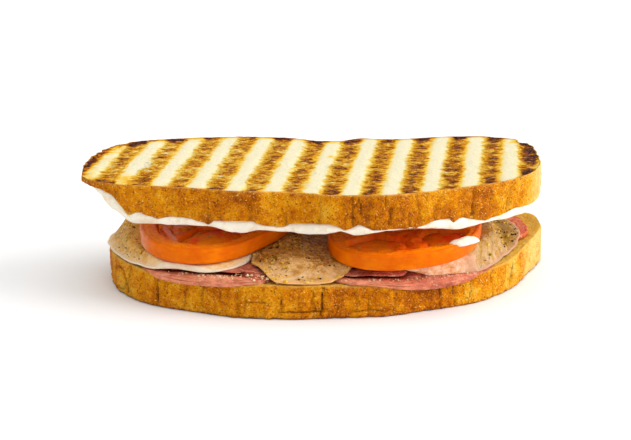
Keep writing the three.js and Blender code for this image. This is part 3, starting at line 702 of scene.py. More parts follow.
# --------------------------------------------------------------- the spread
def make_spread():
    N = 520
    t, s = even_angles(TOP, N)
    R0 = radius_of(TOP, t) + wander(t, TOP_WANDER)
    deg = np.degrees(t)
    ct, st = np.cos(t), np.sin(t)
    ex = TOP["x"] + R0 * ct
    crust = along_front(CRUST_EDGE, ex, t, 3, 36.9, 1.2)
    lowz = along_front(SPREAD_EDGE, ex, t, 9, 34.1, 1.0) + 0.30 * fbm(R0 * ct, R0 * st, 0, 4.5, 2, 14)
    ins = 0.75 + 5.0 * np.exp(-((deg - 180) / 11) ** 2) - 0.65 * fbm(R0 * ct, R0 * st, 0, 6, 2, 15)
    rim = R0 - ins
    up = lambda r: lift(TOP["x"] + r * ct)
    high = np.maximum(crust + 0.25, lowz + 1.2)
    base = rim - 9
    rows = []
    for q in np.linspace(0.08, 1.0, 12)[:-1]:
        r = base * q
        rows.append((r, 34.0 + 0.2 * fbm(r * ct, r * st, 0, 9, 2, 16) + 0.82 * up(r)))
    for q in np.linspace(0, 1, 14):
        r = mix(base, rim - 1.4, q)
        rows.append((r, mix(34.0, lowz, smooth(0, 0.9, q)) + 0.82 * up(r) + 0.25 * fbm(r * ct, r * st, 2, 4, 2, 18) * smooth(0.2, 0.8, q)))
    zlo = rows[-1][1]
    zhi = np.maximum(high + up(rim), zlo + 1.0)
    for a in np.linspace(-80, 80, 18):
        a = math.radians(a)
        r = rim - 1.4 + 1.4 * math.cos(a)
        z = (zlo + zhi) / 2 + (zhi - zlo) / 2 * math.sin(a)
        rows.append((r + 0.22 * fbm(r * ct, r * st, z, 2.6, 2, 19), z))
    for q in np.linspace(1, 0, 9):
        r = mix(base, rim - 1.7, q)
        rows.append((r, TOP_BASE - 0.1 + up(r)))
    X = np.array([TOP["x"] + r * ct for r, _ in rows])
    Y = np.array([TOP["y"] + r * st for r, _ in rows])
    Z = np.array([z for _, z in rows])
    ob = ring_mesh("white_spread", X, Y, Z, (TOP["x"], TOP["y"], 34.0), (TOP["x"], TOP["y"], TOP_BASE - 0.1))
    m = Finish("creamy_spread")
    n = m.noise(0.4, 3, 0.5, seed=1.0)
    tint = m.ramp(n, lit([(0.3, (232, 212, 184)), (0.5, (248, 236, 214)), (0.7, (255, 249, 234))], 0.97))
    grain = m.noise(1.3, 3, 0.55, seed=2.0)
    m.set(Base_Color=tint, Roughness=0.45, Normal=m.bump(grain, 0.35), Specular_IOR_Level=0.2)
    m.set(Subsurface_Weight=0.25, Subsurface_Scale=0.002)
    m.bsdf.inputs["Subsurface Radius"].default_value = (1.0, 0.8, 0.6)
    ob.data.materials.append(m.mat)
    ride(ob, "spread", "spread_white")
    return m.mat


SPREAD_MAT = make_spread()


# -------------------------------------------------------------- the tomatoes
def floor_l(x, y):
    return 20.4 + 0.06 * (x + 48) + 0.09 * (y + 36)


def floor_r(x, y):
    return 20.2 + 0.06 * (x - 28) + 0.09 * (y + 50)


def tomato_finish():
    m = Finish("tomato_flesh")
    skin, wall, depth, core = m.attr("skin"), m.attr("wall"), m.attr("deep"), m.attr("core")
    n = m.noise(0.14, 3, 0.55, seed=4.0)
    fib = m.noise(0.8, 3, 0.6, seed=6.0)
    mixn = m.add(m.mul(n, 0.7), m.mul(fib, 0.3))
    flesh = m.ramp(mixn, lit([(0.32, (176, 46, 0)), (0.5, (208, 80, 0)), (0.66, (238, 120, 8))], 0.5))
    flesh = m.mix(m.step(-5, 5, m.x), flesh, m.ramp(mixn, lit([(0.32, (196, 66, 0)), (0.5, (224, 100, 2)), (0.66, (244, 136, 20))], 0.37)))
    side = m.ramp(m.add(m.mul(n, 0.7), m.mul(m.noise(0.3, 2, 0.5, m.stretch(1, 1, 3), seed=9.0), 0.3)),
                  lit([(0.3, (218, 90, 0)), (0.5, (232, 108, 0)), (0.7, (246, 130, 2))], 1.02))
    col = m.mix(core, flesh, lit([(0, (232, 120, 24))], 0.55)[0][1])
    ring = m.ramp(m.add(m.mul(n, 0.7), m.mul(fib, 0.3)), lit([(0.3, (226, 102, 0)), (0.5, (238, 122, 0)), (0.7, (248, 144, 6))], 0.5))
    col = m.mix(wall, col, ring)
    # painted light: the hollows get a paler, yellower tone, set for little light (0.42), which lifts the shade in them
    col = m.mix(m.mul(depth, 0.85), col, lit([(0, (214, 98, 4))], 0.42)[0][1])
    col = m.mix(skin, col, side)
    # painted reflection: 'pale' is a whitish sheen on the left slice's skin near its left end, plus the septum's own
    # lighter flesh
    col = m.mix(m.math("MULTIPLY", m.attr("pale"), 0.8, clamp=True), col, lit([(0, (236, 190, 166))], 0.96)[0][1])
    wet_sheen = m.step(0.45, 0.6, m.noise(0.7, 2, 0.5, seed=12.0))
    m.set(Base_Color=col, Roughness=m.mixf(skin, m.mixf(wet_sheen, 0.35, 0.14), 0.28), Specular_IOR_Level=m.mixf(skin, m.mixf(wet_sheen, 0.08, 0.4), 0.05))
    m.set(Normal=m.bump(m.add(fib, m.mul(m.noise(2.4, 2, 0.5, seed=7.0), 0.4)), 0.35))
    m.set(Subsurface_Weight=0.12, Subsurface_Scale=0.002)
    m.bsdf.inputs["Subsurface Radius"].default_value = (1.0, 0.3, 0.05)
    return m.mat


def gel_finish(name, tones, light):
    m = Finish(name)
    n = m.noise(0.11, 2, 0.5, seed=14.0)
    col = m.ramp(n, lit(tones, light))
    m.set(Base_Color=col, Roughness=0.10, Normal=m.bump(m.noise(0.7, 2, 0.5, seed=15.0), 0.8), Specular_IOR_Level=0.5)
    m.set(Subsurface_Weight=0.15, Subsurface_Scale=0.002)
    m.bsdf.inputs["Subsurface Radius"].default_value = (1.0, 0.35, 0.05)
    return m.mat


def septum(x, y):
    """Distance to a thin wall of flesh across the left tomato's left hollow."""
    (ax, ay), (bx, by) = (-63.8, -8.0), (-59.5, -23.4)
    q = np.clip(((x - ax) * (bx - ax) + (y - ay) * (by - ay)) / ((bx - ax) ** 2 + (by - ay) ** 2), 0, 1)
    return np.hypot(x - mix(ax, bx, q), y - mix(ay, by, q))


def hollow_depth(o, x, y, hollows, seed):
    """How deep into a seed hollow a point lies, 0 on the flesh to 1 well inside, and the distance from the nearest wall."""
    dx, dy = x - o["x"], y - o["y"]
    t = np.degrees(np.arctan2(dy, dx)) % 360
    r = np.hypot(dx, dy)
    R = radius_of(o, np.radians(t))
    wob = 0.9 * fbm(x, y, 0, 6, 2, seed) + 0.35 * fbm(x, y, 0, 2, 2, seed + 3)
    best = np.full(np.shape(x), -9.0)
    for a, b, lo, hi in hollows:
        c, h = (a + b) / 2, (b - a) / 2
        d = (t - c + 180) % 360 - 180
        side = np.radians(h - np.abs(d)) * r
        side = side - 0.9
        inner = r - R * lo
        outer = R * hi - r
        k = 2.6
        v = np.minimum(np.minimum(inner, outer), side)
        soft = -k * np.log(np.exp(-np.clip(inner, -20, 20) / k) + np.exp(-np.clip(outer, -20, 20) / k) + np.exp(-np.clip(side, -20, 20) / k)) + k * 0.75
        best = np.maximum(best, np.minimum(v + 1.2, soft) + wob)
    if hollows is HOLLOWS_L:
        best = np.minimum(best, septum(x, y) - 1.1 + 0.4 * wob)
    return best


HOLLOWS_L = [(228, 300, 0.26, 0.77), (312, 372, 0.30, 0.74), (26, 88, 0.28, 0.74), (102, 152, 0.28, 0.74), (164, 216, 0.30, 0.74)]
HOLLOWS_R = [(203, 249, 0.40, 0.85), (284, 339, 0.34, 0.84), (352, 402, 0.28, 0.76), (56, 108, 0.28, 0.76), (122, 186, 0.28, 0.76)]


def make_tomato(name, o, floor, hollows, node, seed):
    N = 340
    t, s = even_angles(o, N)
    R = radius_of(o, t) - 0.15 + 0.12 * fbm(np.cos(t) * 30, np.sin(t) * 30, 0, 9, 2, seed)
    ct, st = np.cos(t), np.sin(t)
    rows = []
    for q in np.linspace(0.1, 0.96, 14):
        rows.append((R * q, 0.0 * R, 0, 0))
    for a in np.linspace(-90, -6, 7):
        a = math.radians(a)
        rows.append((R - 1.0 + 1.0 * math.cos(a), 1.0 + 1.0 * math.sin(a) + 0 * R, 1, 0))
    for q in np.linspace(0.2, 0.8, 9):
        rows.append((R + 0.0, TOMATO_THICK * q + 0 * R, 1, 0))
    for a in np.linspace(8, 90, 9):
        a = math.radians(a)
        rows.append((R - 1.3 + 1.3 * math.cos(a), TOMATO_THICK - 0.9 + 0.9 * math.sin(a) + 0 * R, 1, 0))
    n_side = len(rows)
    for q in np.linspace(1, 0.03, 84):
        rows.append(((R - 1.35) * q, TOMATO_THICK + 0 * R, 0, 1))
    X = np.array([o["x"] + r * ct for r, *_ in rows])
    Y = np.array([o["y"] + r * st for r, *_ in rows])
    H = np.array([h for _, h, *_ in rows])
    skin = np.array([[k] for _, _, k, _ in rows]) * np.ones_like(X)
    top = np.array([[k] for *_, k in rows]) * np.ones_like(X)
    inside = hollow_depth(o, X, Y, hollows, seed + 5)
    rr0 = np.hypot(X - o["x"], Y - o["y"]) / np.broadcast_to(R, X.shape)
    dip = (smooth(-0.4, 1.3, inside) * (3.0 + 0.9 * smooth(1, 5, inside)) + 0.45 * smooth(0.84, 0.74, rr0)) * top
    rr = np.hypot(X - o["x"], Y - o["y"]) / np.broadcast_to(R, X.shape)
    bulge = 0.18 * fbm(X, Y, 0, 5, 3, seed + 8) + 0.22 * fbm(X, Y, 0, 13, 2, seed + 9)
    edge_drop = 0.25 * smooth(0.9, 1.0, rr)
    Z = floor(X, Y) + H - dip + top * (bulge - 0.15 - edge_drop) * (1 - 0.5 * smooth(0, 1, inside))
    wall = smooth(0.76, 0.85, rr + 0.03 * fbm(X, Y, 0, 7, 2, seed + 11)) * top
    core = smooth(0.34, 0.16, rr) * top
    if seed > 120:
        # soft flesh torn into lumps between the two front hollows
        ang = np.degrees(np.arctan2(Y - o["y"], X - o["x"])) % 360
        zone = smooth(240, 252, ang) * smooth(342, 330, ang) * smooth(0.80, 0.70, rr) * smooth(0.22, 0.38, rr) * top
        lump = smooth(-0.22, 0.20, fbm(X, Y, 0, 6.5, 2, 163))
        cleft = zone * (1 - lump) * 2.6
        Z = Z - cleft
        dip = np.maximum(dip, 1.2 * cleft)
    # 'pale' holds a painted reflection on the left slice's skin near 197 degrees, and the lighter tone of its septum
    ob = ring_mesh(name, X, Y, Z, (o["x"], o["y"], float(floor(o["x"], o["y"]))), (o["x"], o["y"], float(Z[-1].mean())),
                   dict(skin=skin, wall=wall, deep=smooth(0.9, 3.4, dip), core=core,
                        pale=bump1((np.degrees(t) - 197 + 180) % 360 - 180, 0, 9)[None, :] * skin * (0.55 + 0.9 * fbm(X, Y, Z, 2.5, 2, seed + 15)) * (seed < 120)
                        + 0.75 * np.exp(-(septum(X, Y) / 0.9) ** 2) * top * (seed < 120)))
    ob.data.materials.append(TOMATO_MAT)
    ride(ob, "tomato", node)
    # jelly in each hollow: a skin over a grid, kept a little below the cut face
    g = 0.55
    xs = np.arange(o["x"] - 30, o["x"] + 30, g)
    ys = np.arange(o["y"] - 30, o["y"] + 30, g)
    GX, GY = np.meshgrid(xs, ys)
    ins = hollow_depth(o, GX, GY, hollows, seed + 5)
    keep = ins > 0.25
    zt = floor(GX, GY) + TOMATO_THICK - (1.35 if seed < 120 else 2.3) + 0.45 * fbm(GX, GY, 0, 6, 2, seed + 30) - 0.5 * smooth(2.0, 0.2, ins) + 0.55 * smooth(1.0, 5.0, ins)
    zb = floor(GX, GY) + TOMATO_THICK - 3.2 - 0 * GX
    idx = -np.ones(GX.shape, int)
    cell = keep[:-1, :-1] & keep[1:, :-1] & keep[:-1, 1:] & keep[1:, 1:]
    used = np.zeros_like(keep)
    used[:-1, :-1] |= cell
    used[1:, :-1] |= cell
    used[:-1, 1:] |= cell
    used[1:, 1:] |= cell
    idx[used] = np.arange(used.sum())
    nv = int(used.sum())
    verts = np.concatenate([np.stack([GX[used], GY[used], zt[used]], -1), np.stack([GX[used], GY[used], zb[used]], -1)])
    a, b, c, d = idx[:-1, :-1][cell], idx[:-1, 1:][cell], idx[1:, 1:][cell], idx[1:, :-1][cell]
    quads = [np.stack([a, b, c, d], -1), np.stack([d, c, b, a], -1) + nv]
    # walls round each patch
    edges = {}
    for p, q in ((a, b), (b, c), (c, d), (d, a)):
        for u, v in zip(p.tolist(), q.tolist()):
            edges[(u, v)] = True
    quads.append(np.array([(v, u, u + nv, v + nv) for (u, v) in edges if (v, u) not in edges]))
    jelly = new_mesh(name + "_jelly", verts, np.concatenate(quads))
    jelly.data.materials.append(GEL_MAT if seed < 120 else GEL_RED)
    ride(jelly, "tomato")
    # seeds: small flat drops lying in the jelly
    rng = np.random.default_rng(seed)
    pts = []
    tries = 0
    flat = np.argwhere(ins > 1.4)
    while len(pts) < 20 and tries < 4000 and len(flat):
        tries += 1
        i, j = flat[rng.integers(len(flat))]
        p = np.array([GX[i, j], GY[i, j], zt[i, j] - 0.25])
        if all(np.hypot(*(p - q)[:2]) > 2.3 for q in pts):
            pts.append(p)
    return np.array(pts)


TOMATO_MAT = tomato_finish()
# painted light: the jelly's colours are set for very little light (0.155 and 0.23), so the shade in the hollows comes
# out lighter
GEL_MAT = gel_finish("tomato_jelly_brown", [(0.33, (140, 30, 0)), (0.42, (174, 74, 0)), (0.50, (190, 98, 4)), (0.66, (186, 108, 10))], 0.155)
GEL_RED = gel_finish("tomato_jelly_red", [(0.34, (150, 34, 0)), (0.46, (208, 86, 0)), (0.60, (236, 122, 4))], 0.23)
seeds_l = make_tomato("tomato_slice_left", TOM_L, floor_l, HOLLOWS_L, "tomato_left", 101)
seeds_r = make_tomato("tomato_slice_right", TOM_R, floor_r, HOLLOWS_R, "tomato_right", 151)


# -------------------------------------------------------- ham and pale meat
def clip_to_bread(o, t, margin):
    r = radius_of(o, t)
    m = margin if np.ndim(margin) else np.full(np.shape(t), float(margin))
    for _ in range(400):
        bad = low_inset(o["x"] + r * np.cos(t), o["y"] + r * np.sin(t)) < m
        if not bad.any():
            break
        r = np.where(bad, r - 0.15, r)
    return r


# how thick the folded ham is along the front, as a part of its full thickness
HAM_L_RISE = [(-73, 0.02), (-70.5, 0.1), (-68, 0.35), (-65, 0.66), (-60, 0.8), (-55, 1.04), (-50, 1.1), (-40, 1.0), (-28, 1.0), (-24, 0.8), (-21, 0.4), (-17, 0.04)]
HAM_R_RISE = [(-5, 0.03), (-2, 0.25), (1, 0.45), (7, 0.68), (17, 0.84), (30, 0.84), (36, 0.92), (45, 0.95), (50, 0.85), (56, 0.55), (60, 0.28), (64, 0.03)]


def ham_rise(x, y):
    front = smooth(-8, -24, y)
    left = mix(smooth(-71, -66, x), table_at(x, HAM_L_RISE), front)
    right = mix(smooth(4, 8, x) * smooth(72, 66, x), table_at(x, HAM_R_RISE), front)
    return np.where(x < -12, left, right)


def ham_slope_top(x, y):
    i = low_inset(x, y)
    z = np.interp(i, [-0.5, 0.6, 3, 6.6, 9.8, 12], [14.9, 15.5, 16.5, 17.55, 18.05, 18.2])
    return 14.05 + (z - 14.05) * ham_rise(x, y)


# height of the pale slices' underside along the front
PALE_L_RISE = [(-76, 0.0), (-70.4, 0.08), (-67, 0.45), (-64, 0.7), (-60, 0.90), (-55, 0.90), (-50, 0.83), (-44, 0.85), (-40, 0.88), (-36, 0.93), (-31, 1.0)]
PALE_R_RISE = [(14, 0.95), (30, 0.88), (38, 0.82), (44, 0.72), (50, 0.55), (54, 0.36), (58, 0.14), (62, 0.0)]


def pale_bottom(x, y):
    x, y = np.broadcast_arrays(np.asarray(x, float), np.asarray(y, float))
    front = smooth(-8, -24, y)
    left = 14.15 + 4.3 * mix(smooth(-77.5, -71.5, x), table_at(x, PALE_L_RISE), front)
    right = 14.15 + 4.3 * mix(smooth(77, 70, x), table_at(x, PALE_R_RISE), front)
    right = np.where(x > 66, mix(right, 16.5, smooth(-8, -1, y) * smooth(66, 72, x)), right)
    drop = smooth(-33, -42, y) * smooth(24, 15, np.abs(x + 9))
    floor_ = np.maximum(14.15, np.where(x < -12, ham_slope_top(x, y) + 0.12, np.where(x > -4, ham_slope_top(x, y) + 0.1, 14.15)))
    mid = mix(HAM_TOP + 0.35, floor_, drop)
    z = np.where(x < -28.2, left, np.where(x > 13.6, right, mid))
    return z - sag(x, y)


def pale_top(x, y):
    w = smooth(-11.5, 0.5, x)
    z = mix(floor_l(x, y), floor_r(x, y), w) - 0.3 + 2.2 * smooth(26, 34, y)
    thin = pale_bottom(x, y) + 1.5
    z = mix(z, thin + 2.6 * smooth(-16, -4, y), smooth(-77.5, -85, x))
    z = mix(z, thin, smooth(67, 77, x))
    z = mix(z, thin, smooth(-34, -45, y) * smooth(26, 15, np.abs(x + 9)))
    return np.maximum(z, pale_bottom(x, y) + 0.8)


def under_tomato(x, y):
    a = radius_of(TOM_L, np.arctan2(y - TOM_L["y"], x - TOM_L["x"])) - np.hypot(x - TOM_L["x"], y - TOM_L["y"])
    b = radius_of(TOM_R, np.arctan2(y - TOM_R["y"], x - TOM_R["x"])) - np.hypot(x - TOM_R["x"], y - TOM_R["y"])
    return smooth(-0.5, 1.5, np.maximum(a, b))


def pale_surface(x, y, seed, d=99.0, reach=5.0):
    """Upper face of a pale slice; near its own edge (d mm away) it thins and drapes."""
    ripple = 0.55 * fbm(x, y, 0, 9, 3, seed) + 0.32 * fbm(x, y, 0, 2.6, 3, seed + 2, 0.6)
    free = 1 - under_tomato(x, y)
    low = pale_bottom(x, y)
    z = mix(pale_top(x, y), low + (0.8 if seed == 221 else 1.05), smooth(reach, 0.3, d) * (0.25 + 0.75 * free))
    return np.maximum(z + ripple * (0.03 + 0.97 * free) * smooth(0, 3, d) - 0.12, low + 0.7)


def pale_finish(name, seed, base, dark, rimcol, olive, light, shaded=False):
    m = Finish(name)
    rim, spice_and_shade = m.attr("rim"), m.attr("season_and_shade")
    tone = lambda c: lit([(0, c)], light)[0][1]
    n = m.noise(0.28, 4, 0.6, seed=seed)
    col = m.ramp(n, lit([(0.3, dark), (0.52, base), (0.72, tuple(min(255, c + 26) for c in base))], light))
    clump = m.noise(0.16, 2, 0.5, seed=seed + 1)
    spice = m.noise(0.75, 4, 0.66, seed=seed + 2)
    # seasoning and painted shade: the mask adds olive dust and dark specks, both real spice and the shade the slice
    # lies in
    amount = m.math("MULTIPLY", m.add(spice_and_shade, m.mul(m.add(clump, -0.5), 1.6)), 1.0, clamp=True)
    dust = m.mul(m.step(0.36, 0.58, spice), amount)
    col = m.mix(m.mul(dust, 0.95), col, tone(olive))
    deep = m.mul(m.step(0.54, 0.66, m.noise(1.3, 3, 0.6, seed=seed + 5)), amount)
    col = m.mix(m.mul(deep, 0.85), col, tone((92, 46, 8)))
    gold = m.mul(m.step(0.58, 0.68, m.noise(1.1, 3, 0.6, seed=seed + 7)), m.math("MULTIPLY", m.add(spice_and_shade, 0.45), 1.0, clamp=True))
    col = m.mix(m.mul(gold, 0.8), col, tone((232, 184, 52)))
    # paler whitish-pink patches: partly the meat's own tone, partly painted sheen of its moist surface
    wet_sheen = m.mul(m.step(0.46, 0.57, m.noise(0.42, 3, 0.55, m.stretch(1.0, 1.5, 1.0, turn=20), seed=seed + 15)), m.math("SUBTRACT", 1.0, spice_and_shade, clamp=True))
    col = m.mix(m.mul(wet_sheen, 0.75), col, tone((250, 214, 174)))
    col = m.mix(rim, col, tone(rimcol))
    if shaded:
        # the stretch in front of the tomato gets less light and keeps its moist mottling down to the edge; those
        # colours are set for that lower light (0.92), brighter than the rest of the slice: painted light lifting the
        # shade there
        moist = m.ramp(m.noise(0.42, 4, 0.66, m.stretch(0.7, 1.3, 1.0, turn=15), seed=seed + 13), lit([(0.36, (206, 134, 86)), (0.5, (234, 174, 132)), (0.62, (252, 220, 190))], 0.92))
        col = m.mix(m.step(60, 50, m.x), col, m.mix(m.mul(m.step(0.52, 0.62, spice), 0.55), moist, lit([(0, (214, 160, 60))], 0.92)[0][1]))
    fib = m.noise(1.0, 3, 0.6, m.stretch(0.6, 1.6, 1.0, turn=25), seed=seed + 9)
    m.set(Base_Color=col, Roughness=m.step(0.3, 0.7, fib, 0.25, 0.5), Specular_IOR_Level=m.step(0.52, 0.66, fib, 0.08, 0.45))
    m.set(Normal=m.bump(m.add(m.mul(fib, 0.7), m.add(m.mul(spice, 0.5), m.mul(m.noise(3.0, 2, 0.6, seed=seed + 11), 0.3))), 0.7))
    m.set(Subsurface_Weight=0.2, Subsurface_Scale=0.002)
    m.bsdf.inputs["Subsurface Radius"].default_value = (1.0, 0.55, 0.35)
    return m.mat


def overhang(x, y):
    """How far the left pale slice may hang over the bread's edge at the back left."""
    return 3.4 * smooth(8, 18, y) * smooth(38, 30, y) * smooth(-64, -72, x)


def polar_piece(name, centre, table, seed, wobble=0.5, N=320):
    """Outline from (degrees, radius) points, uneven by a little."""
    def r_of(t):
        r = ring_interp(np.degrees(t), table)
        return r + wobble * fbm(r * np.cos(t) + centre[0], r * np.sin(t) + centre[1], 0, 5, 3, seed)
    t, s = even_angles(r_of, N)
    r = r_of(t)
    # stay on the bread
    for _ in range(300):
        x, y = centre[0] + r * np.cos(t), centre[1] + r * np.sin(t)
        bad = low_inset(x, y) < 0.35 - overhang(x, y)
        if not bad.any():
            break
        r = np.where(bad, r - 0.15, r)
    return t, r


def to_polar(centre, pts):
    out = []
    for x, y in pts:
        out.append((math.degrees(math.atan2(y - centre[1], x - centre[0])) % 360, math.hypot(x - centre[0], y - centre[1])))
    return sorted(out)


def make_pale(name, centre, pts, node, seed, mat, season_and_shade, reach=5.0, round_=0.55):
    t, R = polar_piece(name, centre, to_polar(centre, pts), seed)
    ct, st = np.cos(t), np.sin(t)
    N = len(t)
    rows = []
    for q in np.linspace(0.12, 0.96, 12):
        r = (R - round_) * q
        rows.append((r, None, 0.0, 0.0, "b"))
    for a in np.linspace(-85, 85, 11):
        rows.append((a, None, 1.0, 0.0, "s"))
    for q in np.concatenate([np.linspace(0.995, 0.80, 22), np.linspace(0.79, 0.03, 50)]):
        rows.append(((R - round_) * q, None, 0.0, 1.0, "t"))
    X, Y, Z, rim, top = [], [], [], [], []
    for r, _, k, tp, kind in rows:
        if kind == "s":
            a = math.radians(r)
            rr = R - round_ + round_ * math.cos(a)
            x, y = centre[0] + rr * ct, centre[1] + rr * st
            lo, hi = pale_bottom(x, y), pale_surface(x, y, seed, R - rr, reach)
            z = (lo + hi) / 2 + (hi - lo) / 2 * math.sin(a)
        else:
            x, y = centre[0] + r * ct, centre[1] + r * st
            z = pale_bottom(x, y) if kind == "b" else pale_surface(x, y, seed, R - r, reach)
        X.append(x); Y.append(y); Z.append(z)
        rim.append(np.full(N, k)); top.append(np.full(N, tp))
    X, Y, Z = map(np.array, (X, Y, Z))
    d = R[None, :] - np.hypot(X - centre[0], Y - centre[1])
    rimv = np.clip(np.array(rim) * 0.75 + np.exp(-(d / 2.2) ** 2) * 0.7 * (0.7 + 0.6 * fbm(X, Y, 0, 6, 2, seed + 40)), 0, 1)
    sea = season_and_shade(X, Y) * smooth(0.2, 3.5, d)
    ob = ring_mesh(name, X, Y, Z, (centre[0], centre[1], float(pale_bottom(np.array(centre[0]), np.array(centre[1])))),
                   (centre[0], centre[1], float(Z[-1].mean())), dict(rim=rimv, season_and_shade=np.clip(sea, 0, 1)))
    ob.data.materials.append(mat)
    ride(ob, "pale_meat", node)
    return ob


PALE_PTS_L = [(-86.6, 24.0), (-87.8, 16.0), (-87.6, 8.0), (-86.4, 2.0), (-83.8, -3.6), (-80.0, -13.1), (-76.0, -19.1), (-71.4, -24.7), (-67.5, -26.4), (-60.3, -30.2), (-55.3, -32.9), (-50.2, -35.6),
              (-44.4, -37.3), (-39.5, -36.9), (-35.5, -34.6), (-31.4, -30.6), (-29.0, -25), (-28.4, -10), (-28.4, 12), (-29.5, 33), (-42, 37), (-58, 35), (-72, 34), (-81, 30)]
PALE_PTS_M = [(-28.0, -24), (-30.0, -30.0), (-27.7, -36.0), (-25.4, -40.0), (-21.6, -45.4), (-16.0, -47.6), (-10.2, -48), (-4.4, -48), (-0.6, -46.9), (2.5, -44.5), (6.0, -42.0),
              (10.5, -36.0), (13.0, -20), (13.2, -2), (12.5, 18), (8, 31), (-4, 34), (-18, 35), (-26, 30), (-28.0, 12), (-28.0, -10)]
PALE_PTS_R = [(14.2, -20), (15.0, -36), (18, -41.0), (26, -40.5), (33.0, -40.2), (38.0, -40.8), (43.2, -40.8), (50.0, -38.4), (56.6, -35.6), (62.5, -32.0), (66.0, -28.8), (71.6, -21.8),
              (78.9, -10.0), (83.6, -0.4), (85.0, 10), (82, 25), (70, 36), (52, 38), (32, 35), (18, 32), (14.2, 12), (14.0, -4)]

# seasoning on the pale slices, thicker towards the back; there its olive dust and dark specks also stand in for the
# shade under the upper slice: real seasoning and painted shade
season_and_shade_l = lambda x, y: 0.80 * smooth(-62, -72, x) * smooth(-24, -12, y) + 0.12 + 0.3 * fbm(x, y, 0, 12, 2, 71)
season_and_shade_m = lambda x, y: 1.0 - 0.66 * smooth(-32, -42, y) + 0.25 * fbm(x, y, 0, 9, 2, 72)
season_and_shade_r = lambda x, y: 0.58 + 0.35 * smooth(66, 78, x) * smooth(-16, -4, y) + 0.35 * fbm(x, y, 0, 11, 2, 73) - 0.1 * smooth(-26, -36, y)

# the last number of each pale_finish is the light the slice is taken to get: paler colours for the left slice in shade
# (0.62), darker for the right one in the key light (1.42): painted light evening out the light across them
make_pale("pale_slice_left", (-55, 0), PALE_PTS_L, "pale_left", 201,
          pale_finish("pale_meat_left", 20.0, (224, 176, 94), (186, 132, 48), (244, 222, 192), (160, 112, 14), 0.62), season_and_shade_l, 5.5)
make_pale("pale_slice_middle", (-8, -6), PALE_PTS_M, "pale_middle", 221,
          pale_finish("pale_meat_middle", 40.0, (224, 178, 112), (156, 98, 26), (214, 162, 104), (158, 100, 8), 0.76), season_and_shade_m, 10.0, 0.4)
make_pale("pale_slice_right", (48, -3), PALE_PTS_R, "pale_right", 241,
          pale_finish("pale_meat_right", 60.0, (224, 172, 84), (188, 128, 48), (238, 184, 146), (188, 140, 42), 1.42, True), season_and_shade_r, 5.0)


def ham_finish(name, seed):
    m = Finish(name)
    deep, rim = m.attr("deep"), m.attr("rim")
    n = m.noise(0.22, 4, 0.6, m.stretch(1, 1, 1.5), seed=seed)
    col = m.ramp(n, lit([(0.3, (140, 62, 46)), (0.5, (182, 94, 72)), (0.7, (214, 140, 112))], 0.92))
    marb = m.step(0.54, 0.64, m.noise(0.6, 3, 0.7, m.stretch(0.4, 1.4, 1.6, turn=8), seed=seed + 3))
    col = m.mix(m.mul(marb, 0.6), col, lit([(0, (236, 184, 150))], 0.86)[0][1])
    col = m.mix(m.mul(rim, m.step(0.38, 0.62, m.noise(0.5, 3, 0.6, m.stretch(0.5, 1.2, 2.0), seed=seed + 5), 0.35, 0.85)), col, lit([(0, (234, 150, 110))], 0.86)[0][1])
    # painted shade: 'deep' darkens the hollow behind the lip and the fold seams to a dark red
    col = m.mix(m.mul(deep, 0.92), col, lit([(0, (122, 26, 14))], 0.86)[0][1])
    w = m.noise(0.9, 3, 0.6, seed=seed + 8)
    m.set(Base_Color=col, Roughness=m.step(0.35, 0.65, w, 0.14, 0.42), Specular_IOR_Level=m.step(0.54, 0.66, w, 0.10, 0.6))
    m.set(Normal=m.bump(m.add(w, m.mul(m.noise(2.5, 2, 0.6, seed=seed + 9), 0.4)), 0.7))
    m.set(Subsurface_Weight=0.2, Subsurface_Scale=0.002)
    m.bsdf.inputs["Subsurface Radius"].default_value = (1.0, 0.35, 0.25)
    return m.mat


def catmull(P, n):
    """n points on a smooth curve through the rows of P (k, N)."""
    k = len(P)
    u = np.linspace(0, k - 1, n)
    i = np.clip(u.astype(int), 0, k - 2)
    w = (u - i)[:, None]
    p0, p1, p2, p3 = P[np.maximum(i - 1, 0)], P[i], P[i + 1], P[np.minimum(i + 2, k - 1)]
    return 0.5 * (2 * p1 + (p2 - p0) * w + (2 * p0 - 5 * p1 + 4 * p2 - p3) * w ** 2 + (3 * p1 - p0 - 3 * p2 + p3) * w ** 3)


MOUTH = [(3.0, 14.0), (1.5, 14.0), (0.2, 13.3), (-0.25, 12.6), (-0.75, 12.3), (-1.15, 13.2), (-1.2, 14.6), (-0.8, 15.7), (0.1, 16.3), (1.6, 16.5), (4.0, 16.3),
         (7.5, 15.9), (9.3, 16.4), (8.8, 17.1), (5.0, 17.4), (2.7, 17.5), (2.2, 17.85), (2.8, 18.2), (5.0, 18.2), (9.0, 18.15), (13.0, 18.15)]
SLOPE = [(3.0, 14.0), (1.5, 14.0), (0.2, 13.3), (-0.25, 12.8), (-0.5, 12.7), (-0.8, 13.2), (-0.85, 14.0), (-0.5, 14.7), (0.1, 15.2), (0.8, 15.6), (1.8, 16.0),
         (3.0, 16.5), (4.2, 16.9), (5.4, 17.25), (6.6, 17.55), (7.8, 17.75), (8.8, 17.9), (9.8, 18.0), (10.8, 18.1), (12.0, 18.15), (13.5, 18.15)]
STEEP = [(3.0, 14.0), (1.5, 14.0), (0.2, 13.3), (-0.35, 12.7), (-0.9, 12.2), (-1.3, 12.6), (-1.35, 13.6), (-1.0, 14.6), (-0.3, 15.4), (0.5, 16.1), (1.3, 16.7),
         (2.2, 17.2), (3.2, 17.5), (4.4, 17.7), (5.6, 17.85), (7.0, 17.95), (8.4, 18.0), (9.8, 18.05), (10.8, 18.1), (12.0, 18.15), (13.5, 18.15)]
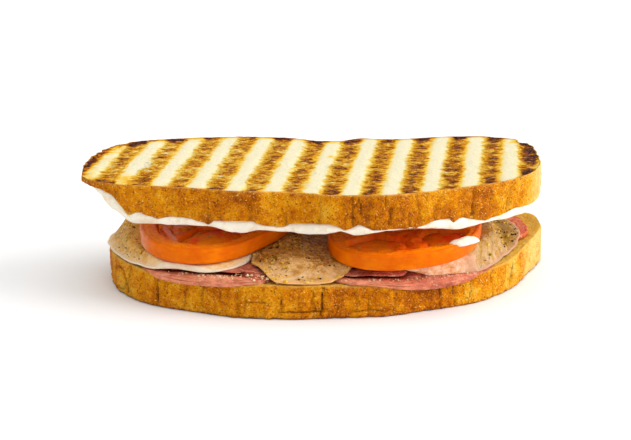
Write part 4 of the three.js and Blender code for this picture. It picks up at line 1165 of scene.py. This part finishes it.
PLAIN = [(3.0, 14.0), (2.4, 14.0), (1.8, 14.0), (1.2, 14.05), (0.7, 14.1), (0.3, 14.3), (0.1, 14.7), (0.0, 15.2), (0.2, 15.8), (0.8, 16.2), (2.0, 16.3),
         (4.5, 16.2), (5.4, 16.6), (5.0, 17.1), (3.0, 17.3), (1.4, 17.4), (0.9, 17.75), (1.4, 18.15), (3.0, 18.2), (6.0, 18.15), (10.0, 18.15)]


def make_ham(name, o, margin, weights, node, seed, droop, slope):
    N = 360
    t = np.arange(N) / N * 2 * np.pi
    r0 = clip_to_bread(o, t, margin)
    t, _ = even_angles(lambda q: np.interp(q % (2 * np.pi), np.append(t, 2 * np.pi), np.append(r0, r0[0])), N)
    R = clip_to_bread(o, t, margin)
    for _ in range(3):
        R = (np.roll(R, 1) + R + np.roll(R, -1)) / 3
    R = R + 0.35 * fbm(R * np.cos(t) + o["x"], R * np.sin(t) + o["y"], 0, 6, 2, seed) - 0.1
    x, y = o["x"] + R * np.cos(t), o["y"] + R * np.sin(t)
    # inward direction: square to the edge there, turning to the middle further in
    nx, ny = -(np.roll(y, -1) - np.roll(y, 1)), np.roll(x, -1) - np.roll(x, 1)
    for _ in range(8):
        nx, ny = (np.roll(nx, 1) + nx + np.roll(nx, -1)) / 3, (np.roll(ny, 1) + ny + np.roll(ny, -1)) / 3
    k = np.hypot(nx, ny)
    nx, ny = nx / k, ny / k
    wm, ws = weights(x, y)
    wp = np.clip(1 - wm - ws, 0, 1)
    M, S, P = np.array(MOUTH), np.array(slope), np.array(PLAIN)
    d = M[:, :1] * wm + S[:, :1] * ws + P[:, :1] * wp
    z = M[:, 1:] * wm + S[:, 1:] * ws + P[:, 1:] * wp
    drop = droop(x, y)
    z = np.where(z < 13.95, 13.95 - (13.95 - z) * drop, z)
    d = np.where(d < 0, d * (0.2 + 0.8 * drop), d)
    z = z + 0.3 * fbm(x, y, 0, 8, 2, seed + 4) * (z > 14.3) * (z < 17.9)
    D, Zr = catmull(d, 70), catmull(z, 70)
    seam = np.maximum(np.exp(-((Zr - 14.55 - 0.45 * fbm(x, y, 0, 12, 2, seed + 12)) / 0.20) ** 2), 0.8 * np.exp(-((Zr - 15.65 - 0.35 * fbm(x, y, 0, 9, 2, seed + 13)) / 0.16) ** 2))
    seam = seam * (D < 1.2) * np.clip(0.35 + 1.6 * fbm(x, y, 0, 14, 2, seed + 14), 0, 1) * (wm + 0.5 * ws)[None, :]
    D = D + 0.32 * seam
    cx, cy = o["x"] - x, o["y"] - y
    k = np.hypot(cx, cy)
    turn = smooth(1.5, 9, D)
    ux, uy = mix(nx, cx / k, turn), mix(ny, cy / k, turn)
    k = np.hypot(ux, uy)
    XS, YS = x + ux / k * D, y + uy / k * D
    rise = ham_rise(XS, YS)
    ZS = np.where(Zr > 14.05, 14.05 + (Zr - 14.05) * rise, 14.05 - (14.05 - Zr) * smooth(0.05, 0.4, rise))
    ZS = ZS - sag(XS, YS)
    ZS = ZS + 0.16 * fbm(XS, YS, Zr, 1.8, 2, seed + 7) * (Zr > 13.2) * (Zr < 18.1)
    X0, Y0 = XS[0], YS[0]
    XB = [mix(o["x"], X0, q) for q in (0.15, 0.4, 0.65, 0.85)]
    YB = [mix(o["y"], Y0, q) for q in (0.15, 0.4, 0.65, 0.85)]
    ZB = [14.05 - sag(a, b) for a, b in zip(XB, YB)]
    XT = [mix(o["x"], XS[-1], q) for q in (0.85, 0.6, 0.35, 0.12)]
    YT = [mix(o["y"], YS[-1], q) for q in (0.85, 0.6, 0.35, 0.12)]
    ZT = [14.05 + 4.1 * ham_rise(a, b) - sag(a, b) for a, b in zip(XT, YT)]
    X, Y, Z = np.array(XB + list(XS) + XT), np.array(YB + list(YS) + YT), np.array(ZB + list(ZS) + ZT)
    pad = lambda v, b, t_: np.concatenate([np.full((4, N), b), v, np.full((4, N), t_)])
    inset = pad(D, 9.0, 14.0)
    zz = pad(Zr, 14.0, 18.15)
    # painted shade: dark red in the hollow behind the ham's lip, under the pale slice, and along the fold seams
    gap_shade = smooth(1.3, 2.8, inset) * (wm + 0.8 * wp)[None, :] * (zz > 14.5) * (zz < 17.45)
    rim = np.exp(-((inset + 0.4) / (1.3 + 0.5 * wm[None, :])) ** 2) * (zz > 12) * (0.45 + 0.55 * wm[None, :])
    gap_shade = np.maximum(gap_shade, 0.75 * pad(seam, 0.0, 0.0))
    ob = ring_mesh(name, X, Y, Z, (o["x"], o["y"], 14.05), (o["x"], o["y"], 18.15), dict(deep=np.clip(gap_shade, 0, 1), rim=np.clip(rim, 0, 1)))
    ob.data.materials.append(ham_finish(name + "_finish", seed * 0.1))
    ride(ob, "ham", node)


HAM_L = dict(x=-45, y=-3, a=27, b=44, n=3.6, h=[0])
HAM_R = dict(x=31, y=-3, a=37, b=46, n=3.6, h=[0])


def w_left(x, y):
    front = smooth(0, -20, y)
    slope = smooth(-38, -29, x) * front
    return front * (1 - slope), slope


def w_right(x, y):
    front = smooth(0, -18, y)
    slope = smooth(28, 37, x) * front
    return front * (1 - slope), slope


make_ham("folded_ham_left", HAM_L, 0.1, w_left, "ham_left", 301, lambda x, y: smooth(0, -22, y) * smooth(-26, -42, x) * 0.75, SLOPE)
make_ham("folded_ham_right", HAM_R, 0.1, w_right, "ham_right", 321, lambda x, y: smooth(0, -20, y) * smooth(14, 36, x) * smooth(64, 54, x) * 0.9, STEEP)


def make_ham_end():
    o = dict(x=79.2, y=19.5, a=11.6, b=17.5, n=2.5, h=[0])
    N = 160
    t, _ = even_angles(o, N)
    R = clip_to_bread(o, t, 3.6) + 0.5 * fbm(np.cos(t) * 14, np.sin(t) * 20, 0, 4, 3, 351) - 0.3
    ct, st = np.cos(t), np.sin(t)
    rows = []
    for q in np.linspace(0.1, 0.95, 8):
        rows.append(((R - 0.9) * q, 14.1 + 0 * R, 0))
    for a in np.linspace(-85, 85, 10):
        a = math.radians(a)
        rows.append((R - 0.9 + 0.9 * math.cos(a), 15.15 + 1.05 * math.sin(a) + 0 * R, 1))
    for q in np.linspace(0.99, 0.03, 30):
        r = (R - 0.9) * q
        rows.append((r, 16.2 - 0.05 + 0.18 * fbm(r * ct, r * st, 0, 2.2, 3, 353) - 0.1, 0))
    X = np.array([o["x"] + r * ct for r, *_ in rows])
    Y = np.array([o["y"] + r * st for r, *_ in rows])
    Z = np.array([z for _, z, _ in rows])
    Z = np.minimum(Z, 16.28)
    rim = np.array([np.full(N, k) for *_, k in rows]) * 0.6
    ob = ring_mesh("ham_end_piece", X, Y, Z, (o["x"], o["y"], 14.1), (o["x"], o["y"], 16.15), dict(deep=0 * X, rim=rim))
    m = Finish("ham_end_finish")
    n = m.noise(0.6, 4, 0.65, m.stretch(1.6, 0.7, 1), seed=7.7)
    col = m.ramp(n, lit([(0.32, (166, 58, 30)), (0.5, (206, 96, 54)), (0.62, (226, 136, 94)), (0.75, (240, 186, 140))], 0.95))
    m.set(Base_Color=col, Roughness=0.35, Specular_IOR_Level=0.15, Normal=m.bump(m.noise(1.6, 3, 0.6, seed=8.8), 0.5))
    m.set(Subsurface_Weight=0.15, Subsurface_Scale=0.002)
    ob.data.materials.append(m.mat)
    ride(ob, "ham", "ham_end")


make_ham_end()


# ------------------------------------------------- crumbs, herbs and the rest
def blob_shape(rng, kind):
    """An icosphere of radius 1, 42 points for a lump and fewer for a flake; scatter() squashes and dents each copy."""
    import bmesh
    bm = bmesh.new()
    bmesh.ops.create_icosphere(bm, subdivisions=2 if kind != "flake" else 1, radius=1.0)
    v = np.array([q.co[:] for q in bm.verts])
    f = np.array([[q.index for q in p.verts] for p in bm.faces])
    bm.free()
    return v, f


_RNG0 = np.random.default_rng(9)
ICO2 = blob_shape(_RNG0, "lump")
ICO1 = blob_shape(_RNG0, "flake")


def scatter(name, places, sizes, flat, ico, seed, slot, mat, sink=0.3):
    """Joins many small uneven lumps, each at its place, into one mesh."""
    rng = np.random.default_rng(seed)
    V, F, n = [], [], 0
    base, faces = ico
    for p, s in zip(places, sizes):
        sc = s * np.array([rng.uniform(0.75, 1.25), rng.uniform(0.75, 1.25), flat * rng.uniform(0.8, 1.2)])
        v = base * (1 + 0.22 * rng.normal(size=(len(base), 1)))
        v = v * sc
        a, b, c = rng.uniform(0, 2 * np.pi), rng.normal(0, 0.35), rng.normal(0, 0.35)
        Rz = np.array([[math.cos(a), -math.sin(a), 0], [math.sin(a), math.cos(a), 0], [0, 0, 1]])
        Rx = np.array([[1, 0, 0], [0, math.cos(b), -math.sin(b)], [0, math.sin(b), math.cos(b)]])
        Ry = np.array([[math.cos(c), 0, math.sin(c)], [0, 1, 0], [-math.sin(c), 0, math.cos(c)]])
        v = v @ (Rz @ Rx @ Ry).T + np.asarray(p) + np.array([0, 0, sc[2] * (1 - 2 * sink)])
        V.append(v)
        F.append(faces + n)
        n += len(base)
    ob = new_mesh(name, np.concatenate(V), tris=np.concatenate(F))
    ob.data.materials.append(mat)
    ride(ob, slot)
    return ob


def plain_finish(name, stops, rough, seed, sss=0.2, relief=0.3):
    m = Finish(name)
    n = m.noise(1.3, 3, 0.6, seed=seed)
    m.set(Base_Color=m.ramp(n, stops), Roughness=rough, Normal=m.bump(m.noise(4.0, 2, 0.6, seed=seed + 1), relief), Specular_IOR_Level=0.12)
    m.set(Subsurface_Weight=sss, Subsurface_Scale=0.001)
    return m.mat


def pale_spots(n, seed, region):
    """Points on the pale meat, thinned by region(x, y) from 0 to 1, clear of the tomatoes."""
    rng = np.random.default_rng(seed)
    out = []
    while len(out) < n:
        x, y = rng.uniform(-88, 88), rng.uniform(-48, 40)
        if rng.random() > region(x, y):
            continue
        if float(under_tomato(np.array(x), np.array(y))) > 0.05:
            continue
        if x < -27.9:
            s, pts, c = 201, PALE_PTS_L, (-55, 0)
        elif x < 13.8:
            s, pts, c = 221, PALE_PTS_M, (-8, -6)
        else:
            s, pts, c = 241, PALE_PTS_R, (48, -3)
        rr = math.hypot(x - c[0], y - c[1])
        R = float(ring_interp(np.array(math.degrees(math.atan2(y - c[1], x - c[0]))), to_polar(c, pts)))
        inset = float(low_inset(np.array(x), np.array(y)))
        if rr > R - 0.9 or inset < 1.2:
            continue
        R = min(R, rr + inset - 0.35)
        out.append((x, y, float(pale_surface(np.array(x), np.array(y), s, R - rr, 10.0 if s == 221 else 5.2))))
    return np.array(out)


def dens_mid(x, y):
    if -28 < x < 14:
        w = 1.0 - 0.55 * float(smooth(-38, -45, y))
    elif x < -60:
        w = 0.55 * float(smooth(-26, -14, y)) + 0.08
    else:
        w = 0.34 if x < 56 else 0.8
    clump = float(fbm(x, y, 0, 7, 2, 88))
    return w * min(1.0, max(0.0, 0.45 + 1.5 * clump))


GOLD = plain_finish("golden_crumbs", lit([(0.3, (206, 150, 30)), (0.5, (234, 186, 66)), (0.7, (248, 220, 130))], 0.9), 0.5, 31.0, 0.05)
DARK = plain_finish("cracked_pepper", lit([(0.35, (38, 20, 6)), (0.6, (84, 50, 16))], 0.9), 0.55, 33.0, 0.0)
HERB = plain_finish("dried_herbs", lit([(0.3, (96, 80, 10)), (0.5, (134, 104, 14)), (0.7, (172, 138, 36))], 0.9), 0.6, 35.0, 0.0)
OFFW = plain_finish("pale_crumbs", lit([(0.3, (222, 178, 120)), (0.6, (246, 224, 180))], 0.95), 0.55, 37.0, 0.05)

rng = np.random.default_rng(77)
p1 = pale_spots(620, 401, dens_mid)
scatter("crumbs_golden", p1, rng.lognormal(math.log(0.34), 0.35, len(p1)).clip(0.18, 0.75), 0.75, ICO1, 402, "bread", GOLD)
p2 = pale_spots(260, 411, dens_mid)
scatter("pepper_specks", p2, rng.lognormal(math.log(0.32), 0.45, len(p2)).clip(0.16, 0.85), 0.6, ICO1, 412, "pale_meat", DARK)
p3 = pale_spots(300, 421, dens_mid)
scatter("herb_flakes", p3, rng.lognormal(math.log(0.42), 0.3, len(p3)).clip(0.2, 0.9), 0.28, ICO1, 422, "pale_meat", HERB)


def ham_lie(x, y):
    """Height of the ham's front surface at a point, where crumbs can lie on it."""
    xx, yy = np.array(x, float), np.array(y, float)
    i, k = float(low_inset(xx, yy)), float(ham_rise(xx, yy))
    if -37 < x < 0:
        z = float(np.interp(i, [0, 0.8, 3, 6.6], [15.2, 15.6, 16.5, 17.5]))
    elif x > 36:
        z = float(np.interp(i, [0, 1.3, 2.2, 4.4], [15.6, 16.7, 17.2, 17.7]))
    elif i > 2.4:
        return None
    else:
        z = float(np.interp(i, [0, 1.6, 3], [16.2, 16.5, 16.4]))
    return 14.05 + (z - 14.05) * k - float(sag(xx, yy)) + 0.02


def ham_crumbs():
    rng = np.random.default_rng(431)
    out = []
    while len(out) < 240:
        if rng.random() < 0.6:
            x = rng.normal(-40, 11)
            if not -64 < x < -20:
                continue
        else:
            x = rng.uniform(4, 62)
        # on the lip or slope just inside the front edge
        ys = np.linspace(-55, -20, 281)
        m = low_inset(np.full(281, x), ys)
        y0 = ys[np.argmax(m > 0.0)]
        d = rng.uniform(-0.2, 2.6) if x < -37 else abs(rng.normal(0, 3.0)) + 0.3
        if x < -37 and rng.random() < 0.55:
            continue
        z = ham_lie(x, y0 + d)
        if z is not None:
            out.append((x, y0 + d, z))
    return np.array(out)


p4 = ham_crumbs()
scatter("crumbs_on_ham", p4, rng.lognormal(math.log(0.24), 0.45, len(p4)).clip(0.12, 0.65), 0.75, ICO1, 432, "bread", OFFW)


def crust_crumbs(name, n, seed, high):
    """Points on a slice's crust, most of them on the front and near the grilled edge."""
    rng = np.random.default_rng(seed)
    sx, sy, sz, ct, st = SIDES[name]
    rows, cols = sx.shape
    out = []
    while len(out) < n:
        j = int(rng.integers(cols))
        i = int(rows * (1 - abs(rng.normal(0, 0.28)))) if rng.random() < high else int(rng.integers(2, rows - 1))
        if not 2 <= i < rows - 1:
            continue
        if float(fbm(sx[i, j], sy[i, j], sz[i, j], 6, 2, seed + 1)) < rng.uniform(-0.6, 0.35):
            continue
        x, y, z = sx[i, j] - 0.12 * ct[i, j], sy[i, j] - 0.12 * st[i, j], sz[i, j]
        if abs(x) < 95.9 and abs(y) < 47.2 and 0.7 < z < 50.2:
            out.append((x, y, z))
    return np.array(out)


def front_specks(n, seed):
    """Points along the middle slice's front rim."""
    rng = np.random.default_rng(seed)
    pol = to_polar((-8, -6), PALE_PTS_M)
    out = []
    while len(out) < n:
        a = rng.uniform(222, 318)
        r = float(ring_interp(np.array(a), pol)) - abs(rng.normal(0, 1.1)) + 0.1
        x, y = -8 + r * math.cos(math.radians(a)), -6 + r * math.sin(math.radians(a))
        if float(low_inset(np.array(x), np.array(y))) < 0.5:
            continue
        out.append((x, y, float(pale_surface(np.array(x), np.array(y), 221, 1.0, 10.0)) - 0.05))
    return np.array(out)


CRUSTY = plain_finish("crust_crumbs", lit([(0.3, (214, 146, 40)), (0.5, (240, 186, 84)), (0.7, (252, 224, 150))], SIDE), 0.5, 43.0, 0.05)
for nm, slab, n, sd, hi in (("crumbs_on_crust_upper", "upper_slice", 520, 451, 0.55), ("crumbs_on_crust_lower", "lower_slice", 420, 455, 0.25)):
    pc = crust_crumbs(slab, n, sd, hi)
    scatter(nm, pc, rng.lognormal(math.log(0.20), 0.4, len(pc)).clip(0.10, 0.5), 0.8, ICO1, sd + 2, "bread", CRUSTY, 0.5)
pf = front_specks(90, 459)
scatter("crumbs_on_rim", pf, rng.lognormal(math.log(0.36), 0.4, len(pf)).clip(0.18, 0.8), 0.7, ICO2, 460, "bread", GOLD)

# seeds in the jelly
SEED = plain_finish("tomato_seeds", [(0.3, (190, 104, 26)), (0.6, (216, 150, 62))], 0.25, 39.0, 0.1, 0.1)
sp = np.concatenate([seeds_l, seeds_r])
scatter("seeds", sp, np.full(len(sp), 1.0), 0.32, ICO2, 441, "tomato", SEED, 0.45)


def white_blob():
    N, M = 90, 26
    t = np.arange(N) / N * 2 * np.pi
    c = np.array([53.0, -40.6])
    R = 4.2 + 1.0 * np.cos(2 * (t - 0.5)) + 0.7 * fbm(np.cos(t) * 3, np.sin(t) * 3, 0, 2, 2, 461)
    rows = []
    for q in np.linspace(0.1, 0.9, 4):
        rows.append((R * q, 0 * R))
    for q in np.linspace(1.0, 0.04, M):
        rows.append((R * q, 1.9 * (1 - q ** 2.6) ** 0.6 * (0.9 + 0.25 * fbm(R * q * np.cos(t), R * q * np.sin(t), 0, 2.4, 2, 463))))
    X = np.array([c[0] + r * np.cos(t) * 1.15 for r, _ in rows])
    Y = np.array([c[1] + r * np.sin(t) * 0.85 for r, _ in rows])
    Z = np.array([h for _, h in rows]) + floor_r(X, Y) + TOMATO_THICK - 0.7
    ob = ring_mesh("spread_blob", X, Y, Z, (c[0], c[1], float(floor_r(c[0], c[1]) + TOMATO_THICK - 0.7)), (c[0], c[1], float(Z[-1].mean())))
    ob.data.materials.append(SPREAD_MAT)
    ride(ob, "spread")


white_blob()

# ------------------------------------------------------- floor, light, camera
me = bpy.data.meshes.new("floor")
S = 6.0
me.from_pydata([(-S, -S, 0), (S, -S, 0), (S, S, 0), (-S, S, 0)], [], [(0, 1, 2, 3)])
floor_ob = bpy.data.objects.new("floor", me)
bpy.context.scene.collection.objects.link(floor_ob)
floor_ob.location = (0, 0, -0.0001)
fm = bpy.data.materials.new("white_floor")
fm.use_nodes = True
fb = fm.node_tree.nodes["Principled BSDF"]
fb.inputs["Base Color"].default_value = (0.88, 0.88, 0.88, 1)
fb.inputs["Roughness"].default_value = 0.9
fb.inputs["Specular IOR Level"].default_value = 0.1
floor_ob.data.materials.append(fm)

scene = bpy.context.scene
world = bpy.data.worlds.new("studio")
scene.world = world
world.use_nodes = True
bg = world.node_tree.nodes["Background"]
bg.inputs[0].default_value = (1, 1, 1, 1)
bg.inputs[1].default_value = 0.55


def sun(name, azimuth, elevation, level, spread):
    """A soft distant lamp giving that much light on a level white floor."""
    ld = bpy.data.lights.new(name, "SUN")
    ld.angle = math.radians(spread)
    ld.energy = math.pi * level / math.sin(math.radians(elevation))
    ob = bpy.data.objects.new(name, ld)
    scene.collection.objects.link(ob)
    ob.rotation_euler = (math.radians(90 - elevation), 0, math.radians(azimuth + 90))
    return ob


sun("overhead", -60, 78, 0.47, 75)
sun("key", -10, 23, 0.34, 48)

cam_data = bpy.data.cameras.new("camera")
cam = bpy.data.objects.new("camera", cam_data)
scene.collection.objects.link(cam)
cam_data.sensor_width = 36.0
cam_data.lens = 1650.0 / 631.0 * 36.0
cam_data.clip_start, cam_data.clip_end = 0.05, 50
turn = math.radians(5)
cx, cy = -(-2.0 * math.cos(turn) - 650.0 * math.sin(turn)), -(2.0 * math.sin(turn) - 650.0 * math.cos(turn))
cam.location = ((-58.6 + SHX) / 1000, (-647.4 + SHY) / 1000, 0.22707)
pitch = math.atan((220 + 290) / 1650.0)
cam.rotation_euler = (math.pi / 2 - pitch, 0, -turn)
scene.camera = cam

scene.view_settings.view_transform = "Standard"
scene.view_settings.look = "None"
scene.view_settings.exposure = 0.0
scene.view_settings.gamma = 1.0
scene.cycles.max_bounces = 8
